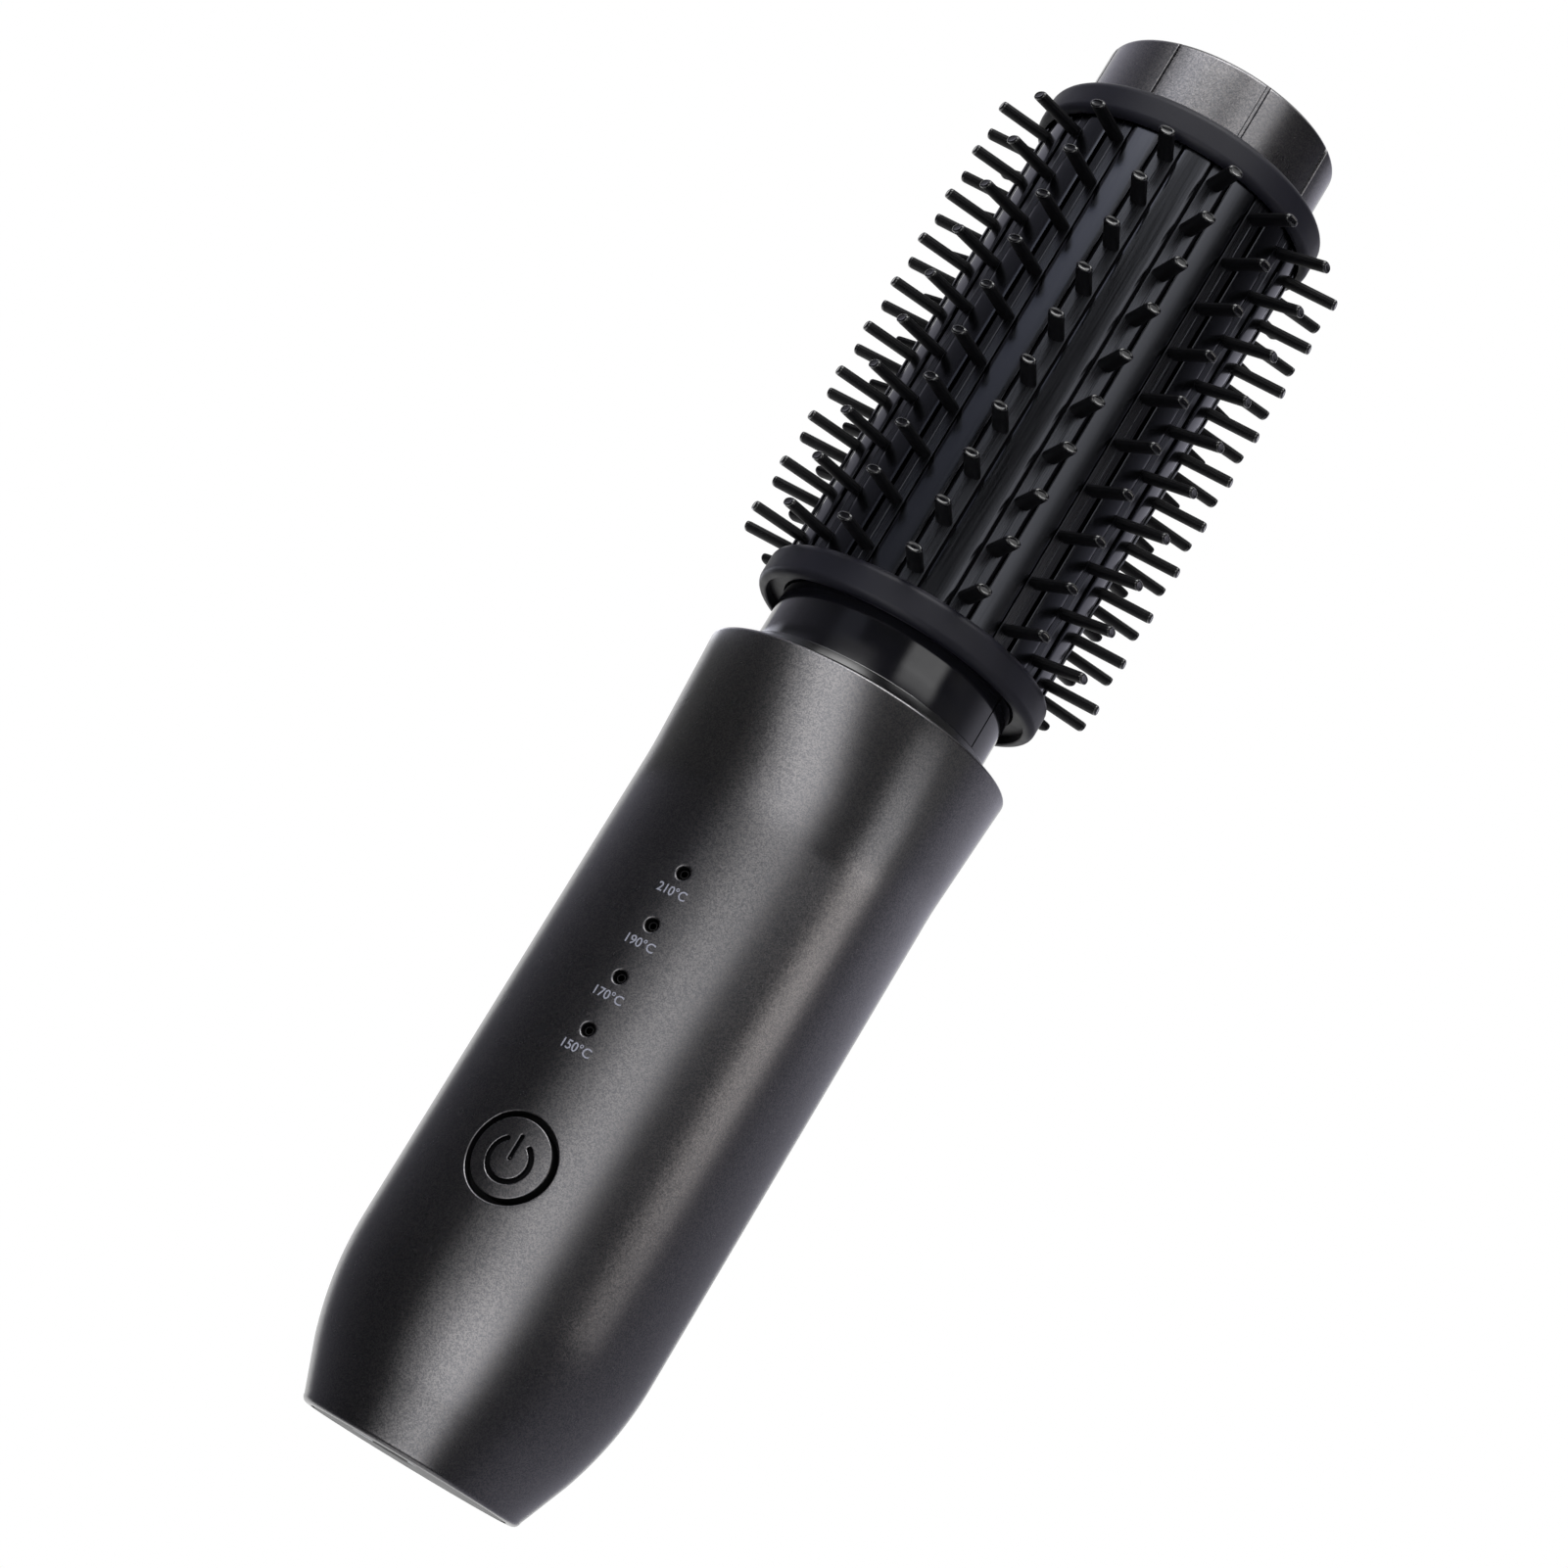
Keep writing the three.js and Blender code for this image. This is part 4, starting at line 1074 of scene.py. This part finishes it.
# %% [markdown]
# ## Inner pieces
#
# The battery, board, heater and sensors hardly show, and their CAD solids already have the right shape.
# They stay as they are and only take a finish.

# %% Finishes of the inner pieces
for finish, names in (
    (chassis_abs, ["switch_plunger", "switch_body", "battery_carrier"]),
    (board_mask, ["control_board"]),
    (bare_abs_and_shade, ["light_guide"]),
    (ceramic, ["heat_barrier", "heater_plate", "temperature_sensor"]),
    (heater_metal, ["heater_block_front", "heater_block_rear"]),
    (nickel, ["thermal_cutoff", "cell_strap_bottom", "cell_strap_top", "board_screw_1", "board_screw_2"]),
    (neck_abs, ["tip_plug"]),
    (shrink_wrap, ["battery_cell_left", "battery_cell_right"]),
    (smoked, [f"indicator_led_{i}" for i in range(1, 5)]),
):
    for name in names:
        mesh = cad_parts[name].data
        mesh.materials.clear()
        mesh.materials.append(finish)

# %% [markdown]
# ## Studio
#
# A dark, shiny brush shows its surroundings more than its own colour. The camera and the glossy surfaces
# see a white world. Round the front stands a dark wall that only reflections see. In front of it hang large
# soft boxes, each a curved card whose brightness is worked out along its azimuth and its height and fades
# to nothing at the edges. They add light to what is behind them. Two small cards stand close to the rim and
# make the highlights of the flare and the collar. The side behind the brush stays open, so its outline gets
# thin white rims. One lamp from above gives the shadow, and the floor is pale and seen only from above.

# %% World
world = bpy.data.worlds.new("studio")
bpy.context.scene.world = world
world.use_nodes = True
sky = world.node_tree
sky.nodes.clear()
rays = node(sky, "ShaderNodeLightPath").outputs
seen = node(sky, "ShaderNodeMath", {0: rays["Is Camera Ray"], 1: rays["Is Glossy Ray"]}, operation="MAXIMUM")
seen = node(sky, "ShaderNodeMath", {0: seen, 1: rays["Is Transmission Ray"]}, operation="MAXIMUM")
level = node(sky, "ShaderNodeMapRange", {"Value": seen, "To Min": 0.35, "To Max": 1.0})
backdrop = node(sky, "ShaderNodeBackground", {"Color": (1, 1, 1, 1), "Strength": level})
node(sky, "ShaderNodeOutputWorld", {"Surface": backdrop})

# %% Cards
def glowing(name, colour, solid):
    """A light-giving finish whose brightness comes from the card's own points. If it isn't solid, it adds to
    what is behind it, so its edges can fade to nothing."""
    made, tree = new_material(name)
    level = node(tree, "ShaderNodeAttribute", attribute_name="glow")
    shine = node(tree, "ShaderNodeEmission", {"Color": linear(colour), "Strength": level.outputs["Fac"]})
    if not solid:
        clear = node(tree, "ShaderNodeBsdfTransparent")
        shine = node(tree, "ShaderNodeAddShader", {0: shine, 1: clear})
    show(tree, shine)
    made.cycles.emission_sampling = "NONE"
    return made


def along(value, table):
    """A value read off pairs of place and level, with smooth steps between them and level ends."""
    if value <= table[0][0]:
        return table[0][1]
    for (a, p), (b, q) in zip(table, table[1:]):
        if value <= b:
            share = (value - a) / (b - a)
            return p + (q - p) * share * share * (3 - 2 * share)
    return table[-1][1]


def shaded(angle, height, *tables):
    """The sum of products, each of a level along the azimuth and a level up the height."""
    return sum(along(angle, across) * along(height, up) for across, up in tables)


def card(name, distance, azimuth, height, colour, glow, solid=False):
    """A curved upright card round the axis, with its ranges of azimuth in degrees and height in millimetres.
    Its brightness is a function of azimuth and height."""
    across, tall = 64, 48
    points, levels = [], []
    for k in range(tall + 1):
        z = height[0] + (height[1] - height[0]) * k / tall
        for i in range(across + 1):
            angle = azimuth[0] + (azimuth[1] - azimuth[0]) * i / across
            points.append(on_axis(distance, radians(angle), z))
            levels.append(glow(angle, z))
    row = across + 1
    corners = [k * row + i for k in range(tall) for i in range(across)]
    faces = [(c, c + row, c + row + 1, c + 1) for c in corners]
    piece = new_piece(name, points, faces, [glowing(name, colour, solid)])
    piece.data.attributes.new("glow", "FLOAT", "POINT").data.foreach_set("value", levels)
    piece.visible_camera = False
    piece.visible_transmission = False
    piece.visible_shadow = False
    piece.visible_diffuse = not solid
    return piece


# %% Dark wall
def wall_glow(angle, height):
    """Each side of the wall has its own tables, and its right end is brighter where the barrel shows it."""
    if angle < -15:
        return shaded(angle, height, (
            [(-125, 0.26), (-108, 0.235), (-94, 0.2), (-80, 0.135), (-65, 0.085), (-50, 0.055),
             (-30, 0.035)],
            [(80, 0.75), (230, 0.68), (330, 2.0), (540, 2.4), (600, 3.6)],
        ))
    return shaded(angle, height, (
        [(0, 0.02), (50, 0.03), (75, 0.08), (95, 0.2), (115, 0.27), (135, 0.32), (185, 0.32)],
        [(-560, 1.6), (-209, 1.5), (82, 1.3), (144, 1.1), (200, 1.0), (260, 1.05), (380, 0.8), (560, 0.3),
         (600, 0.2)],
    ), (
        [(106, 0.0), (135, 0.21), (185, 0.2)],
        [(150, 0.0), (240, 1.0), (322, 3.0), (380, 3.0), (420, 2.7), (550, 2.5), (590, 0.0)],
    ), (
        [(145, 0.0), (160, 0.6), (185, 0.8)],
        [(545, 0.0), (570, 1.0)],
    ))


card("dark_wall", 1000, (-125, 185), (-2600, 1500), "#e8e7f6", wall_glow, solid=True)

# %% Soft boxes
# Each has its distance, azimuths, heights and colour, and then its levels along the azimuth and up the
# height.
for name, distance, azimuth, height, colour, across, up in (
    ("soft_box_front", 800, (-34, 52), (-900, 310), "#ffffff",
     [(-31, 0.0), (-8, 0.33), (4, 0.75), (15, 1.0), (26, 1.0), (32.5, 0.8), (39.5, 0.17), (48.5, 0.0)],
     [(-900, 1.5), (-560, 2.9), (-210, 3.0), (80, 2.5), (200, 1.95), (272, 1.85), (305, 0.0)]),
    ("soft_box_warm", 800, (64, 104), (20, 310), "#fffaf5",
     [(68, 0.0), (81, 1.0), (92, 1.0), (102, 0.0)],
     [(20, 0.2), (80, 0.35), (145, 1.25), (205, 2.8), (256, 3.6), (280, 3.6), (305, 0.0)]),
    ("soft_box_high", 780, (22, 74), (308, 1200), "#ffffff",
     [(27, 0.0), (37, 1.0), (64, 1.0), (74, 0.0)],
     [(310, 0.0), (326, 2.5), (345, 2.5), (368, 1.25), (1200, 1.3)]),
    ("soft_box_top", 780, (-64, 74), (530, 1200), "#ffffff",
     [(-62, 0.0), (-44, 0.25), (-32, 0.7), (-24, 1.0), (0, 1.0), (30, 0.37), (58, 0.4), (72, 0.0)],
     [(550, 0.0), (574, 4.6), (1200, 4.5)]),
    ("soft_box_blue", 780, (-44, 4), (320, 1200), "#e4eaff",
     [(-42, 0.0), (-30, 1.0), (-16, 1.0), (-7, 0.0)],
     [(322, 0.0), (330, 0.5), (355, 0.15), (540, 1.15), (570, 0.3), (1200, 0.3)]),
):
    card(name, distance, azimuth, height, colour, lambda a, z: shaded(a, z, (across, up)))

# %% Cards close to the rim
# Two highlights of the first card lean a little to the left. The second card lights the left of the collar.
main_azimuth, second_azimuth = 17.5, 71.5


def near_glow(angle, height):
    lean = min(height - 103.5, 20.5)
    level = shaded(angle, height, (
        [(-95, 0.18), (-87, 0.17), (-72, 0.15), (-59, 0.1), (-45, 0.07), (0, 0.04), (45, 0.07), (75, 0.18),
         (92, 0.3)],
        [(123, 1.0), (125.5, 0.6)],
    ), (
        [(27, 0.0), (36, 1.0), (58, 1.0), (66, 0.0)],
        [(127.4, 0.0), (128.0, 1.8)],
    ))
    level += shaded(angle - main_azimuth + 0.95 * lean, height, (
        [(-40, 0.0), (-28, 0.15), (-18, 1.4), (-9, 2.6), (0, 3.0), (6, 2.8), (12, 1.8), (17, 0.6), (22, 0.1),
         (28, 0.0)],
        [(121.5, 1.0), (123.5, 1.35), (126.4, 1.35), (127.3, 0.14)],
    ))
    return level + shaded(angle - second_azimuth + 0.55 * lean, height, (
        [(-14, 0.0), (-4, 1.0), (4, 1.0), (13, 0.0)],
        [(102, 2.0), (108, 1.3), (117, 0.8), (120.5, 0.0)],
    ))


def collar_glow(angle, height):
    return shaded(angle, height, (
        [(-82, 1.2), (-66, 0.9), (-48, 0.42), (-30, 0.0)],
        [(123, 0), (124.7, 1), (127.5, 1), (129, 0)],
    ), (
        [(-105, 3.0), (-85, 2.2), (-70, 0.0)],
        [(126.5, 0), (128, 1), (129.5, 1), (130.4, 0)],
    ))


card("card_at_the_rim", 47, (-95, 92), (101.2, 130), "#ffffff", near_glow, solid=True)
card("card_at_the_collar", 46.5, (-112, -28), (120, 131.5), "#eef0ff", collar_glow)

# %% Lamp over the brush
# An area lamp high up at the front right gives the floor its shadow and draws the thin bright lines along
# every edge that is rounded upwards.
lamp_data = bpy.data.lights.new("soft_lamp", "AREA")
lamp_data.shape = "RECTANGLE"
lamp_data.size = 1.0
lamp_data.size_y = 0.6
lamp_data.energy = 9.5
lamp = placed("soft_lamp", lamp_data)
lamp_direction = Vector(on_axis(0.47, radians(25), 0.88))
lamp_distance = 1.25
middle_of_brush = Vector((0, 0, 0.11))
turn_up = lamp_direction.to_track_quat("Z", "Y").to_matrix().to_4x4()
lamp.matrix_world = Matrix.Translation(lamp_direction * lamp_distance + middle_of_brush) @ turn_up
lamp.visible_camera = False

# %% Floor
# The floor is matt and pale, and clear from below. Away from the brush it first turns white and then clear,
# so that it goes over into the white world without an edge.
def farther(tree, distance, start, end):
    """A share that rises from 0 to 1 between two distances from the foot of the brush."""
    limits = {"Value": distance.outputs["Value"], "From Min": start, "From Max": end}
    return node(tree, "ShaderNodeMapRange", limits, interpolation_type="SMOOTHSTEP")


floor_material, tree = new_material("pale_floor")
distance = node(tree, "ShaderNodeVectorMath", {0: millimetres(tree)}, operation="LENGTH")
tone = node(tree, "ShaderNodeMix", {
    "Factor": farther(tree, distance, 150.0, 420.0), "A": linear("#e4e4e4"), "B": linear("#ffffff"),
}, data_type="RGBA")
pale = node(tree, "ShaderNodeBsdfDiffuse", {"Color": tone.outputs["Result"]})
clear = node(tree, "ShaderNodeBsdfTransparent")
far = farther(tree, distance, 250.0, 640.0)
below = node(tree, "ShaderNodeNewGeometry").outputs["Backfacing"]
share = node(tree, "ShaderNodeMath", {0: far, 1: below}, operation="MAXIMUM")
show(tree, node(tree, "ShaderNodeMixShader", {"Fac": share, 1: pale, 2: clear}))
floor_half, floor_height = 700, -0.1
corners = [(x * floor_half, y * floor_half, floor_height) for x, y in square]
floor = new_piece("floor", corners, [(0, 1, 2, 3)], [floor_material])
floor.visible_glossy = False
